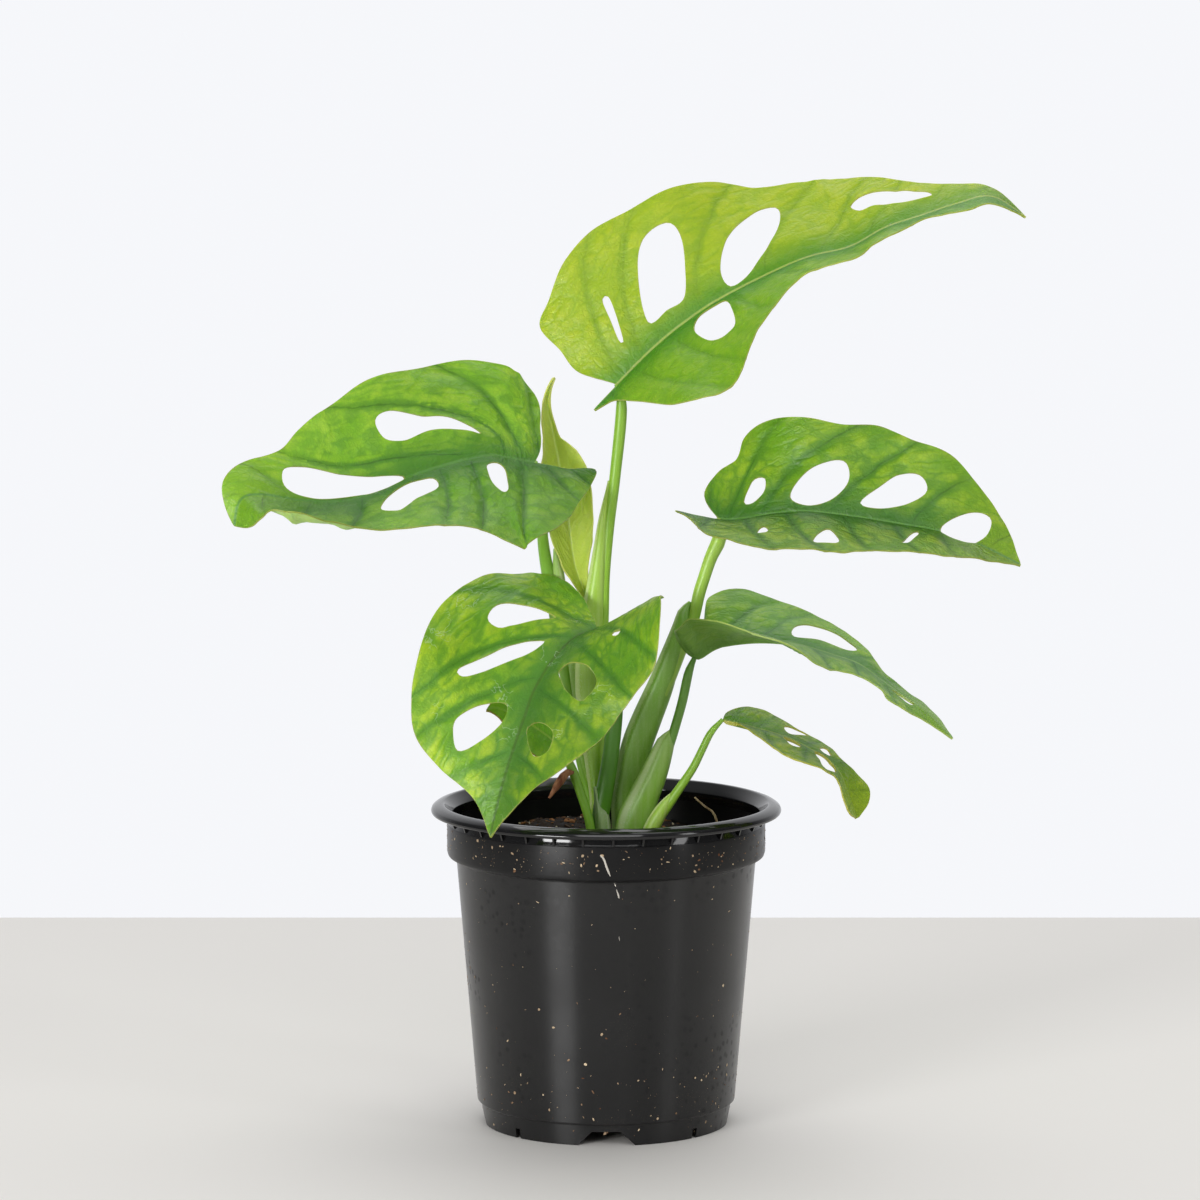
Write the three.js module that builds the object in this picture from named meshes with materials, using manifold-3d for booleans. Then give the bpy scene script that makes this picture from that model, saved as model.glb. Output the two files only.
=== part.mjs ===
// A potted swiss cheese vine: eight leaves with holes on sheathed stalks, in a black nursery pot.
// Millimetres, +Z up. The origin is the middle of the pot's underside, on the ground, and the
// plant is seen from its front along +Y. Leaves are described flat, then bent along a midrib.
import * as THREE from 'three';
import { mergeVertices } from 'three/addons/utils/BufferGeometryUtils.js';
import Module from 'manifold-3d';

const wasm = await Module();
wasm.setup();

// Pot
const LIP_R = 60;
const LIP_Z = 110.7;
const LIP_UNDER_Z = 107.3;
const OPENING_R = 55.2;
const COLLAR_R = 54.5;
const COLLAR_TOP_Z = 104.5;
const SHOULDER_Z = 92;
const BODY_TOP_R = 51.3;
const BODY_FOOT_R = 44.3;
const FOOT_STEP_Z = 7.6;
const FOOT_R = 42.1;
const WALL = 1.1;
const FLOOR_Z = 5.4;
const PAD_R = 10;
const POT_SIDES = 48;
const GUSSETS = 34;
const GUSSET_THICKNESS = 0.7;
const GUSSET_START = 0.23;
const GUSSET_REACH_R = 55.8;
const NOTCH_FOOT_WIDTH = 21.6;
const NOTCH_TOP_WIDTH = 9.6;
const NOTCH_HEIGHT = 5;
const SLIT_WIDTH = 2;
const SLIT_HEIGHT = 3.4;
const DRAIN_R = 3.4;
const DRAIN_FROM_AXIS = 29;
const DRAIN_SIDES = 16;

// Soil
const SOIL_TOP_Z = 95;
const SOIL_RINGS = 8;
const SOIL_SIDES = 36;
const SOIL_HEAPS = [
  { at: [2, -4], high: 2.4, reach: 18 },
  { at: [-22, 30], high: 4, reach: 12 },
  { at: [-10, 42], high: 3, reach: 9 },
  { at: [18, 40], high: 2, reach: 8 },
];
const GAP = 0.35;

// Leaves and stalks
const BLADE_THICKNESS = 0.7;
const OUTLINE_STEP = 5.5;
const HOLE_STEP = 4;
const INNER_STEP = 8.5;
const INNER_ROWS = 8;
const DIRECTION_REACH = 9;
const STALK_BELOW_BLADE = 1.4;
const STALK_SIDES = 10;
const STALK_STEP = 11;
const SHEATH_DEPTH = 2.2;

// Distances and areas below these count as nothing
const MERGE_DISTANCE = 1e-4;
const LEAST_AREA = 1e-4;
const LEAST_BEND = 1e-6;
const MOST_ROUNDS = 80;

// Each leaf, flat: u runs along the midrib from the stalk to the tip, v across it (+v is the side
// to the left of someone looking from the stalk to the tip). midrib holds points in space, the
// first one behind the stalk, the second one at it. leftRise and rightRise say how steeply each
// half rises from the midrib, in degrees, at five places from the stalk to the tip, and
// leftCurl and rightCurl how much more it turns over the half width. faces is where the upper
// side looks when the rises are nought. wave is the height, number and start of the edge waves.
const UPWARD = [0, 0, 1];
const TOWARD_FRONT = [0, -1, 0];
const LEAVES = {
  top_leaf: {
    midrib: [
      [-3, 1, 247.5], [3.5, 2, 254], [15, 3, 265.5], [26.5, 4, 275], [40.5, 5, 284], [65.5, 5, 296],
      [82.5, 5, 300.5], [94.5, 5, 307], [106.5, 5, 311], [118.5, 5, 315], [130.5, 5, 317.5],
      [142.5, 5, 310.5],
    ],
    faces: UPWARD,
    leftRise: [62, 64, 42, 34, 22],
    rightRise: [-30, -32, -13, -12, -17],
    leftCurl: [5, 5, 5, 5, 5],
    rightCurl: [5, 5, 5, 5, 5],
    halfWidth: 45,
    wave: [1.2, 4, 0],
    left: [
      [0, 0], [-6, 13], [-5, 23], [-4, 34], [5, 38.5], [15, 43.5], [26, 46], [38, 44], [50, 44],
      [62, 42], [72, 36.5], [84, 34.5], [97, 34.5], [109, 27], [120, 19], [132, 12.5], [145, 6.5],
      [158.4, 0],
    ],
    right: [
      [0, 0], [-12, -1.2], [-5, -5], [-1, -12], [7, -29], [14, -37.5], [24, -41.5], [36, -40.5],
      [48, -35], [60, -27], [74, -20], [92, -21], [100, -16], [112, -9.5], [122, -5],
      [133, -10], [145, -7.5], [158.4, 0],
    ],
    holes: [
      [[18, 24], [16, 17.5], [12, 9], [11, 10], [13.5, 17], [16, 24.5]],
      [[22, 8], [29, 7], [36, 7], [41.5, 16], [45, 26], [44, 33], [36, 32.5], [29, 23.5]],
      [[51, 2], [59, 3.5], [68, 11], [74, 19], [74.5, 26], [67, 25.5], [57, 19], [50.5, 9]],
      [[47.5, -4], [46.5, -16], [43, -19.5], [35, -17], [32, -8], [36, -2.5], [43, -2]],
      [[102, 13], [108, 12], [116, 9], [126, 9], [118, 15], [107, 18.5], [100, 17.5]],
    ],
  },
  left_leaf: {
    midrib: [
      [-5, 2, 226], [-24, -12, 229], [-33, -16, 231], [-40, -19, 232], [-51.5, -25, 230],
      [-66, -32.5, 226], [-80.5, -39.5, 220.5], [-89, -44, 219], [-101.5, -50, 220],
      [-114, -56.5, 222.5], [-120.5, -60, 221], [-122.5, -61, 212.5],
    ],
    faces: UPWARD,
    leftRise: [-42, -40, -30, -50, -30],
    rightRise: [50, 58, 65, 56, 46],
    leftCurl: [5, 5, 20, 115, 90],
    rightCurl: [5, 5, 5, 5, 5],
    halfWidth: 38,
    wave: [1.2, 3, 1.5],
    left: [
      [0, 0], [-12, 2], [-24.5, 1.5], [-18.5, 10], [-9, 19], [-2, 28], [6, 37], [15, 42], [26, 42],
      [36, 36], [48, 31], [60, 26], [72, 22], [86, 24.5], [98, 25.5], [109, 19], [118, 8], [119.7, 0],
    ],
    right: [
      [0, 0], [-4, -6], [-7, -15], [-10, -25], [-5, -33], [4, -36], [16, -37], [30, -35.5],
      [46, -36], [60, -33], [76, -31], [86, -26], [94, -18], [105, -12.5], [113, -6], [119.7, 0],
    ],
    holes: [
      [
        [50, -22], [44, -23.5], [35, -18.5], [26, -16], [18, -8], [24, -10.5], [34, -13], [44, -12],
        [50, -15],
      ],
      [[93, -11], [84, -12], [71, -9], [60, -5], [49, -0.5], [57, 1], [70, -1], [84, -1], [93, -4]],
      [[41, 4.5], [42, 9.5], [52, 12], [60, 14.5], [64, 10], [58, 5], [49, 3]],
      [[20, 5], [15, 4], [13, 8], [14.5, 16], [18.5, 17.5], [21, 12]],
    ],
  },
  front_leaf: {
    midrib: [
      [7.5, -8, 179], [-3, -18, 173], [-10.5, -25, 171], [-18, -34, 164.5], [-24, -42, 155.5],
      [-27, -48, 148], [-31.5, -56, 135.5], [-35, -61, 124], [-38.5, -64, 109],
    ],
    faces: UPWARD,
    leftRise: [20, -8, -14, -12, -8],
    rightRise: [25, 30, 30, 26, 20],
    leftCurl: [5, 5, 5, 5, 5],
    rightCurl: [5, 5, 5, 5, 5],
    halfWidth: 38,
    wave: [0.8, 3, 0.5],
    left: [
      [0, 0], [-3.5, 7], [-10.5, 12], [-12.5, 18.5], [-10, 27.5], [-3, 36], [7, 42.5], [17, 41],
      [28, 37], [40, 32],
      [52, 27.5], [62, 21], [71, 14], [80, 7.5], [91.5, 0],
    ],
    right: [
      [0, 0], [-4, -6], [-9, -16], [-10, -26], [-5, -34], [4, -37.5], [14, -41], [27, -42.5],
      [40, -40.5], [53, -38], [65, -33], [73, -22], [80, -9], [91.5, 0],
    ],
    holes: [
      [[22, -27], [16, -27.5], [11, -19], [8.5, -11], [13, -13.5], [20, -19], [23, -22]],
      [[41, -26], [33, -19.5], [25, -14], [18.5, -7], [24, -7], [32, -12], [40, -19.5], [43, -24]],
      [[56, -21], [49, -14.5], [46.5, -7], [53, -6.5], [61, -11], [66.5, -17], [62, -20.5]],
      [[28, 5], [23.5, 8], [23.5, 14.5], [29.5, 20.5], [38, 18], [36, 12], [32, 8]],
      [[52, 2.5], [49.5, 6], [52.5, 11.5], [59.5, 12], [62, 8], [57, 4]],
      [[9.2, 18.5], [8.8, 20.8], [10, 22], [11.2, 21], [11, 18.5]],
    ],
  },
  right_leaf: {
    midrib: [
      [24.5, -2, 211.5], [38, -5, 209], [45.5, -6, 209], [55.5, -8, 211], [67.5, -10, 212],
      [83.5, -12.5, 210.5], [100, -15, 208], [112, -17, 206], [124.5, -19, 202], [139.5, -22, 195],
    ],
    faces: UPWARD,
    leftRise: [50, 64, 65, 60, 40],
    rightRise: [-14, -19, -18, -17, -14],
    leftCurl: [5, 5, 5, 5, 5],
    rightCurl: [5, 5, 5, 5, 5],
    halfWidth: 36,
    wave: [1.0, 3, 2],
    left: [
      [0, 0], [-6, 6], [-7, 11], [-3, 19], [5, 24], [9, 31], [18, 34], [29, 33], [38, 31.5],
      [49, 33], [61, 30], [73, 27.5], [82, 21], [90, 15.5], [98, 9], [106, 0],
    ],
    right: [
      [0, 0], [-8, -1.5], [-15, -1], [-8, -6], [-1, -17], [6, -21.5], [13, -27], [22, -32],
      [32, -34], [43, -32.5], [55, -27], [67, -24], [80, -19], [93, -11], [106, 0],
    ],
    holes: [
      [[9, 6], [12.5, 13], [17, 13], [16.5, 8], [12, 5]],
      [[25, 5], [29, 13], [35, 17.5], [41, 18.5], [43, 12], [38.5, 5], [31, 2]],
      [[48, 5], [53, 11], [59, 17], [66, 18], [69, 12.5], [63, 7], [54, 4]],
      [[76.5, 2], [84, 10], [90, 11], [91, 4], [86, -2.5], [79, -2]],
      [[36, -24], [38, -16], [41, -15], [45, -24], [41, -26.5]],
      [[15, -15.5], [17, -11], [19, -16]],
      [[65.5, -16.5], [66.2, -11], [68.2, -5.5], [69.8, -5], [69.2, -10.5], [67.5, -15]],
    ],
  },
  low_leaf: {
    midrib: [
      [25, -8, 164.5], [30, -10, 162], [37.5, -11, 166.5], [48.5, -13, 168.5], [59, -15, 168.5],
      [66.5, -16, 167], [76.5, -17, 164], [85.5, -19, 161], [94, -21, 155], [101, -22, 150],
      [107.5, -23, 146], [117, -25, 136.5],
    ],
    faces: UPWARD,
    leftRise: [40, 24, 12, 2, -3],
    rightRise: [35, 14, -4, -8, -22],
    leftCurl: [0, 0, 0, 0, 0],
    rightCurl: [0, 0, 0, 0, 0],
    halfWidth: 32,
    wave: [0.8, 3, 0],
    left: [
      [0, 0], [0, 9], [4, 17], [10, 25], [17, 29], [27, 26.5], [38, 25], [48, 23], [56, 17],
      [64, 10], [73, 9], [82, 8], [91, 7], [99.8, 0],
    ],
    right: [
      [0, 0], [-5, -5], [-5, -14], [2, -22.5], [12, -25], [23, -27], [35, -28], [45, -24],
      [55, -16], [64, -11], [70, -10], [74, -15], [80, -11], [90, -5], [99.8, 0],
    ],
    holes: [
      [[35, 4], [34, 10], [39, 16], [47, 17], [55, 11.5], [53, 7], [43, 7]],
      [[73, -3], [77, 0], [82, -1.5], [80, -4.5]],
    ],
  },
  small_leaf: {
    midrib: [
      [34.5, -13, 141.5], [39.5, -15, 141.5], [47, -17, 140], [60.5, -20, 136.5], [69, -22, 132.5],
      [75.5, -24, 128.5], [79, -25, 124.5], [81.5, -26, 117.5], [84.5, -27, 109.5],
    ],
    faces: UPWARD,
    leftRise: [20, 12, 6, 10, 30],
    rightRise: [0, -3, -8, 0, 10],
    leftCurl: [0, 0, 0, 0, 0],
    rightCurl: [0, 0, 0, 0, 0],
    halfWidth: 19,
    wave: [0.4, 2, 0],
    left: [
      [0, 0], [0, 5], [4, 11], [10, 14], [18, 12], [27, 11.5], [34, 11], [41, 7], [47, 9.5],
      [53, 11.5], [58, 7.5], [61.8, 0],
    ],
    right: [
      [0, 0], [5, -1], [11, -6.5], [18, -13], [26, -16], [34, -15], [41, -12], [47, -6],
      [54, -7], [59, -7], [61.8, 0],
    ],
    holes: [
      [[20, 6.5], [22, 10], [27.5, 11], [26.5, 7], [23, 3.5]],
      [[22, -2], [26.5, -1], [29, -4], [25.5, -6]],
      [[34, 4], [35.5, 7], [38.5, 4.5], [37, 3]],
      [[33.5, 0], [39, 0.5], [44, -3.5], [41, -9.5], [36.5, -5]],
    ],
  },
  young_leaf: {
    midrib: [
      [-5.5, 6, 168], [-6.5, 6, 179.5], [-9, 7, 186.5], [-11, 8, 193], [-12.5, 9, 203.5],
      [-13.5, 10, 213.5], [-16, 11, 225.5], [-18, 12, 236], [-20, 12, 244.5], [-19.5, 12, 251],
      [-17.5, 12, 256],
    ],
    faces: TOWARD_FRONT,
    leftRise: [50, 35, 30, 45, 60],
    rightRise: [50, 30, 20, 30, 60],
    leftCurl: [40, 40, 50, 60, 60],
    rightCurl: [40, 40, 40, 50, 60],
    halfWidth: 14,
    wave: [0.5, 3, 0],
    left: [
      [0, 0], [2, 2.5], [8, 4.5], [15, 7], [24, 9.5], [35, 11], [46, 11], [56, 9], [64, 5],
      [72, 2.5], [78.5, 0],
    ],
    right: [
      [0, 0], [2, -1.5], [8, -5], [15, -7.5], [24, -10], [35, -12], [45, -11], [51, -8.5], [55, -4.5],
      [58, -2], [68, -1.5], [78.5, 0],
    ],
    holes: [],
  },
  hidden_leaf: {
    midrib: [
      [-11, -12.5, 127], [-14.5, -14.5, 131], [-18.5, -17, 135], [-24, -20, 139.5],
      [-31, -23, 144], [-37, -26, 147], [-41, -28, 146.5],
    ],
    faces: UPWARD,
    leftRise: [-45, -45, -45, -45, -45],
    rightRise: [60, 60, 60, 60, 60],
    leftCurl: [0, 0, 0, 0, 0],
    rightCurl: [0, 0, 0, 0, 0],
    halfWidth: 12,
    wave: [0.4, 2, 1],
    left: [[0, 0], [-2, 4], [3, 9], [11, 12], [20, 11], [28, 6], [34, 0]],
    right: [[0, 0], [-2, -4], [3, -9], [11, -12], [20, -11], [28, -6], [34, 0]],
    holes: [],
  },
};

// Stalks: path holds points up from inside the soil; the last point is left out, because the
// stalk ends just under its leaf. half holds the half thickness at each point and at the leaf.
// A sheath is a wider, flatter sleeve that narrows to a free tip beside the stalk.
const STALKS = {
  top_leaf_stalk: {
    leaf: 'top_leaf',
    path: [
      [-2.5, 0, 85], [-3, 0, 102.5], [-3, 0.5, 125], [-3, 1, 146], [-2, 1.5, 158], [-1, 2, 173.5],
      [-0.5, 2.5, 188.5], [1, 3, 205.5], [3, 3, 222.5], [5.2, 2.5, 246],
    ],
    half: [2.2, 2.4, 2.4, 2.2, 2.1, 1.9, 1.8, 1.8, 1.9, 1.9, 0.8],
    sheath: [
      [-3, 0, 99.5], [-3, 0, 111.5], [-3.5, 0.5, 122], [-4.6, 1, 135.5], [-6, 1, 152.5],
      [-5, 1.2, 171.5], [-3.2, 2, 188.5], [-2, 2.5, 199], [-1, 3, 208.5], [1, 3, 221],
    ],
    sheathHalf: [2.4, 2.7, 3.5, 4.4, 4.7, 4.2, 2.9, 2.2, 1.5, 0.5],
  },
  left_leaf_stalk: {
    leaf: 'left_leaf',
    path: [
      [-3.5, 7, 85], [-4, 7, 101], [-6, 7, 112], [-9, 7, 125], [-10.5, 7, 136.5], [-13.6, 6.5, 152.2],
      [-17.1, 6.8, 172.7], [-20.1, 6.3, 189.8], [-21.6, 2, 201.3], [-22.1, -5, 215], [-22.8, -9.2, 222],
    ],
    half: [1.5, 1.5, 1.5, 1.6, 1.9, 2.1, 2.2, 2.2, 1.9, 1.7, 1.6, 0.8],
    sheath: [
      [-6, 7, 112], [-8, 7, 126], [-9.5, 7, 138.5], [-11, 6.8, 152.2], [-12.6, 6.8, 166],
      [-15.2, 6.5, 180], [-16.5, 6, 190], [-17.6, 4, 197.5],
    ],
    sheathHalf: [1.2, 1.9, 2.2, 2.4, 2.4, 2.2, 1.9, 0.5],
  },
  front_leaf_stalk: {
    leaf: 'front_leaf',
    path: [
      [-3, -8, 85], [-2.5, -8, 102.5], [-1, -8, 113], [1.5, -7.5, 128], [3, -7.5, 143],
      [3.5, -8.5, 157.5], [1.5, -11, 166],
    ],
    half: [2.4, 2.7, 3, 2.8, 2.7, 2.5, 2.1, 0.8],
    sheath: [[-1, -8.5, 99], [-1.5, -9, 106.5], [-2.5, -9, 112], [-4, -9, 117.5]],
    sheathHalf: [2.9, 2.7, 1.7, 0.5],
  },
  right_leaf_stalk: {
    leaf: 'right_leaf',
    path: [
      [4, -2, 85], [5.5, -2, 101.5], [7.5, -2.5, 112], [10.5, -3, 124], [14.5, -3.5, 136],
      [18.5, -4, 146.5], [22.5, -4.5, 156.5], [26, -5, 165.5], [29.5, -5, 174], [31.5, -5, 183],
      [33.5, -5, 189.5], [35.5, -5, 195.5], [38.5, -5, 202.5],
    ],
    half: [2.4, 2.7, 2.7, 2.6, 2.4, 2.4, 2.2, 2.1, 2, 2.1, 2.1, 2.2, 2.4, 0.9],
    sheath: [
      [5, -2, 94.5], [6, -2, 101.5], [6.5, -2.5, 112], [8, -3, 120.5], [10.5, -3.5, 131],
      [14, -4, 140.5], [18.5, -4, 151.5], [22, -5, 162], [25, -5, 171], [26.5, -5, 177],
      [28.5, -5, 180.5],
    ],
    sheathHalf: [3.4, 4.1, 4.8, 5.1, 5.3, 5.1, 4.5, 3.6, 2.9, 2.1, 0.5],
  },
  low_leaf_stalk: {
    leaf: 'low_leaf',
    path: [
      [7.5, -9, 85], [9.5, -9, 104], [12, -9, 111], [15.5, -9, 118], [18.5, -9, 125],
      [21.5, -9.5, 132], [24, -9.5, 140], [26, -10, 147.5], [28, -10.5, 157],
    ],
    half: [2.4, 2.7, 2.7, 2.4, 2.1, 1.7, 1.6, 1.6, 1.5, 0.8],
    sheath: [
      [7, -9, 95.5], [9.5, -9, 106], [13, -9, 114.5], [16.5, -9, 122.5], [20.5, -9.5, 133.5],
      [22, -9.5, 137],
    ],
    sheathHalf: [4.5, 5.7, 5.1, 4.5, 3, 0.5],
  },
  small_leaf_stalk: {
    leaf: 'small_leaf',
    path: [
      [10, -16, 85], [16.5, -16, 105], [21.5, -16, 113], [25.5, -16, 119], [29.5, -15.5, 125],
      [32.5, -15, 131], [35.5, -15, 137],
    ],
    half: [2.1, 2.1, 1.7, 1.5, 1.4, 1.3, 1.2, 0.7],
    sheath: [
      [13, -16, 98.5], [15.5, -16, 104.5], [18.5, -16, 110], [21.5, -16, 114.5], [23.5, -16, 117],
    ],
    sheathHalf: [2.4, 2.7, 2.4, 1.5, 0.5],
  },
  hidden_leaf_stalk: {
    leaf: 'hidden_leaf',
    path: [[-4, -14, 85], [-5.5, -13.5, 104.5], [-9, -13, 117], [-12, -13, 125]],
    half: [1.4, 1.5, 1.6, 1.6, 0.7],
  },
};

// The thin root that loops out of the soil, and the dry brown tip of the hidden stalk's sheath
const AERIAL_ROOT = [
  [38.5, 14, 88], [38.5, 14, 98], [38, 13, 102.5], [36.5, 12, 105.5], [34, 10, 107.5], [30.5, 8, 111],
];
const AERIAL_ROOT_HALF = [0.5, 0.5, 0.5, 0.5, 0.45, 0.4];
const DRY_TIP = [[-11.2, -15.5, 123.4], [-13.5, -16.8, 123.4], [-16.3, -19, 120], [-19.3, -21.2, 115.5]];
const DRY_TIP_HALF = [0.6, 1.4, 1.4, 0.4];

const LEAF_GREEN = 0x4f9a2c;
const YOUNG_GREEN = 0xa3c64a;
const STALK_GREEN = 0x7cab46;
const LEAF_COLOURS = { top_leaf: 0x86b82e, young_leaf: YOUNG_GREEN, small_leaf: 0x7fae2c };

function material(colour, roughness) {
  return new THREE.MeshStandardMaterial({ color: colour, roughness, metalness: 0 });
}

// Reads a list of evenly spaced values at t from 0 to 1, along a smooth curve through them.
function along(values, t) {
  const last = values.length - 1;
  const place = Math.min(Math.max(t, 0), 1) * last;
  const i = Math.min(Math.floor(place), last - 1);
  const f = place - i;
  const [a, b] = [values[Math.max(i - 1, 0)], values[i]];
  const [c, d] = [values[i + 1], values[Math.min(i + 2, last)]];
  const bend = 2 * a - 5 * b + 4 * c - d;
  return 0.5 * (2 * b + (c - a) * f + bend * f * f + (3 * b - a - 3 * c + d) * f ** 3);
}

// Turns a closed geometry into a solid that can be joined and cut.
function solid(geometry) {
  const bare = geometry.clone();
  bare.deleteAttribute('normal');
  bare.deleteAttribute('uv');
  const merged = mergeVertices(bare, MERGE_DISTANCE);
  const position = merged.attributes.position;
  const corner = merged.index.array;
  const triangles = [];
  let volume = 0;
  const [a, b, c] = [new THREE.Vector3(), new THREE.Vector3(), new THREE.Vector3()];
  for (let i = 0; i < corner.length; i += 3) {
    const [p, q, r] = [corner[i], corner[i + 1], corner[i + 2]];
    if (p === q || q === r || r === p) continue;
    triangles.push(p, q, r);
    a.fromBufferAttribute(position, p);
    b.fromBufferAttribute(position, q);
    c.fromBufferAttribute(position, r);
    volume += a.dot(b.cross(c));
  }
  if (volume < 0) triangles.reverse();
  return new wasm.Manifold(new wasm.Mesh({
    numProp: 3,
    vertProperties: new Float32Array(position.array),
    triVerts: new Uint32Array(triangles),
  }));
}

function geometryOf(shape) {
  const mesh = shape.getMesh();
  const geometry = new THREE.BufferGeometry();
  geometry.setAttribute('position', new THREE.BufferAttribute(mesh.vertProperties, 3));
  geometry.setIndex(new THREE.BufferAttribute(mesh.triVerts, 1));
  return geometry;
}

// A turned shape about the upright axis; points are [radius, height].
function turned(points, sides) {
  const profile = points.map(([r, z]) => new THREE.Vector2(r, z));
  return new THREE.LatheGeometry(profile, sides).rotateX(Math.PI / 2);
}

// An upright outline [across, up], pulled outward from radius `from` to radius `to` at `angle`.
function radialBar(outline, from, to, angle) {
  const shape = new THREE.Shape(outline.map(([x, y]) => new THREE.Vector2(x, y)));
  return new THREE.ExtrudeGeometry(shape, { depth: to - from, bevelEnabled: false })
    .rotateX(Math.PI / 2)
    .translate(0, -from, 0)
    .rotateZ(angle);
}

// A rectangle of the given width, from one height to another.
function barOutline(width, low, high) {
  return [[-width / 2, low], [width / 2, low], [width / 2, high], [-width / 2, high]];
}

function potSolid() {
  const inner = COLLAR_R - WALL;
  const floorTop = FLOOR_Z + WALL;
  const profile = [
    [0, 0], [PAD_R, 0], [PAD_R + 1.4, FLOOR_Z], [FOOT_R - 1.5, FLOOR_Z], [FOOT_R - 1.2, 0], [FOOT_R, 0],
    [FOOT_R + 0.9, FOOT_STEP_Z - 0.4], [BODY_FOOT_R, FOOT_STEP_Z + 0.4],
    [BODY_TOP_R, SHOULDER_Z - 0.4], [COLLAR_R - 1.6, SHOULDER_Z + 0.2], [COLLAR_R - 0.4, SHOULDER_Z + 1],
    [COLLAR_R, SHOULDER_Z + 2.3], [COLLAR_R, COLLAR_TOP_Z - 0.6], [COLLAR_R - 0.3, COLLAR_TOP_Z],
    [COLLAR_R - 1, LIP_Z - 3.1], [COLLAR_R + 0.2, LIP_Z - 2.5], [LIP_R - 0.8, LIP_UNDER_Z],
    [LIP_R - 0.2, LIP_UNDER_Z + 0.3], [LIP_R, LIP_Z - 2.3], [LIP_R - 0.4, LIP_Z - 1.3],
    [LIP_R - 1.6, LIP_Z - 0.5], [LIP_R - 3.2, LIP_Z],
    [OPENING_R + 0.5, LIP_Z], [OPENING_R, LIP_Z - 0.5], [inner + 0.3, LIP_Z - 2.1],
    [inner - 0.8, LIP_UNDER_Z], [inner - 0.8, COLLAR_TOP_Z + 1.2], [inner, COLLAR_TOP_Z - 0.6],
    [inner, SHOULDER_Z + 2.6], [inner - 0.7, SHOULDER_Z + 1.4],
    [BODY_TOP_R - WALL, SHOULDER_Z + 1], [BODY_TOP_R - WALL - 0.1, SHOULDER_Z - 1],
    [BODY_FOOT_R - WALL, floorTop + 2.4], [BODY_FOOT_R - WALL - 1, floorTop],
    [PAD_R + 0.6, floorTop], [PAD_R - 0.6, WALL], [0, WALL],
  ];
  let pot = solid(turned(profile, POT_SIDES));
  const gusset = barOutline(GUSSET_THICKNESS, COLLAR_TOP_Z - 0.2, LIP_UNDER_Z + 0.6);
  for (let i = 0; i < GUSSETS; i += 1) {
    const angle = ((i + GUSSET_START) / GUSSETS) * 2 * Math.PI;
    const bar = radialBar(gusset, COLLAR_R - 1.1, GUSSET_REACH_R, angle);
    const position = bar.attributes.position;
    // The lower outer edge of the bar is drawn in, which makes it a three-cornered gusset.
    for (let k = 0; k < position.count; k += 1) {
      const reach = Math.hypot(position.getX(k), position.getY(k));
      if (reach > COLLAR_R + 1 && position.getZ(k) < COLLAR_TOP_Z + 1) {
        const shrink = COLLAR_R / reach;
        position.setXYZ(k, position.getX(k) * shrink, position.getY(k) * shrink, position.getZ(k));
      }
    }
    pot = pot.add(solid(bar));
  }
  const notch = [
    [-NOTCH_FOOT_WIDTH / 2, -1], [NOTCH_FOOT_WIDTH / 2, -1], [NOTCH_TOP_WIDTH / 2, NOTCH_HEIGHT],
    [-NOTCH_TOP_WIDTH / 2, NOTCH_HEIGHT],
  ];
  const slit = barOutline(SLIT_WIDTH, -1, SLIT_HEIGHT);
  const [cutFrom, cutTo] = [FOOT_R - 6, FOOT_R + 3];
  for (let quarter = 0; quarter < 4; quarter += 1) {
    const angle = (quarter * Math.PI) / 2;
    pot = pot.subtract(solid(radialBar(notch, cutFrom, cutTo, angle)));
    pot = pot.subtract(solid(radialBar(slit, cutFrom, cutTo, angle + Math.PI / 4)));
    const drain = new THREE.CylinderGeometry(DRAIN_R, DRAIN_R, 4 * WALL, DRAIN_SIDES)
      .rotateX(Math.PI / 2)
      .translate(0, -DRAIN_FROM_AXIS, FLOOR_Z)
      .rotateZ(angle);
    pot = pot.subtract(solid(drain));
  }
  return pot;
}

// Height of the soil: a gentle mound round the stalks, heaps of bark at the back, and lumps.
function soilHeight(x, y) {
  let height = SOIL_TOP_Z;
  for (const { at, high, reach } of SOIL_HEAPS) {
    height += high * Math.exp(-((x - at[0]) ** 2 + (y - at[1]) ** 2) / reach ** 2);
  }
  height += 0.5 * Math.sin(x * 0.42 + 1) * Math.cos(y * 0.36);
  height += 0.35 * Math.sin(x * 0.2 - y * 0.5);
  return height;
}

function soilSolid() {
  const radius = COLLAR_R - WALL - GAP - 0.1;
  const under = FLOOR_Z + WALL + GAP;
  const top = [];
  for (let i = 0; i <= SOIL_RINGS; i += 1) {
    top.push([radius * (1 - i / SOIL_RINGS), SOIL_TOP_Z]);
  }
  const ledge = SHOULDER_Z + 3.2;
  const geometry = turned([
    [0, WALL + GAP], [PAD_R - 1.1, WALL + GAP], [PAD_R + 0.2, under],
    [BODY_FOOT_R - WALL - 1.6, under], [BODY_FOOT_R - WALL - 0.6, under + 2.3],
    [BODY_TOP_R - WALL - 0.6, SHOULDER_Z - 1], [BODY_TOP_R - WALL - 0.5, ledge - 0.2],
    [radius, ledge], ...top,
  ], SOIL_SIDES);
  const position = geometry.attributes.position;
  for (let i = 0; i < position.count; i += 1) {
    if (Math.abs(position.getZ(i) - SOIL_TOP_Z) < 0.01) {
      position.setZ(i, Math.max(soilHeight(position.getX(i), position.getY(i)), ledge + 0.6));
    }
  }
  return solid(geometry);
}

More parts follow.
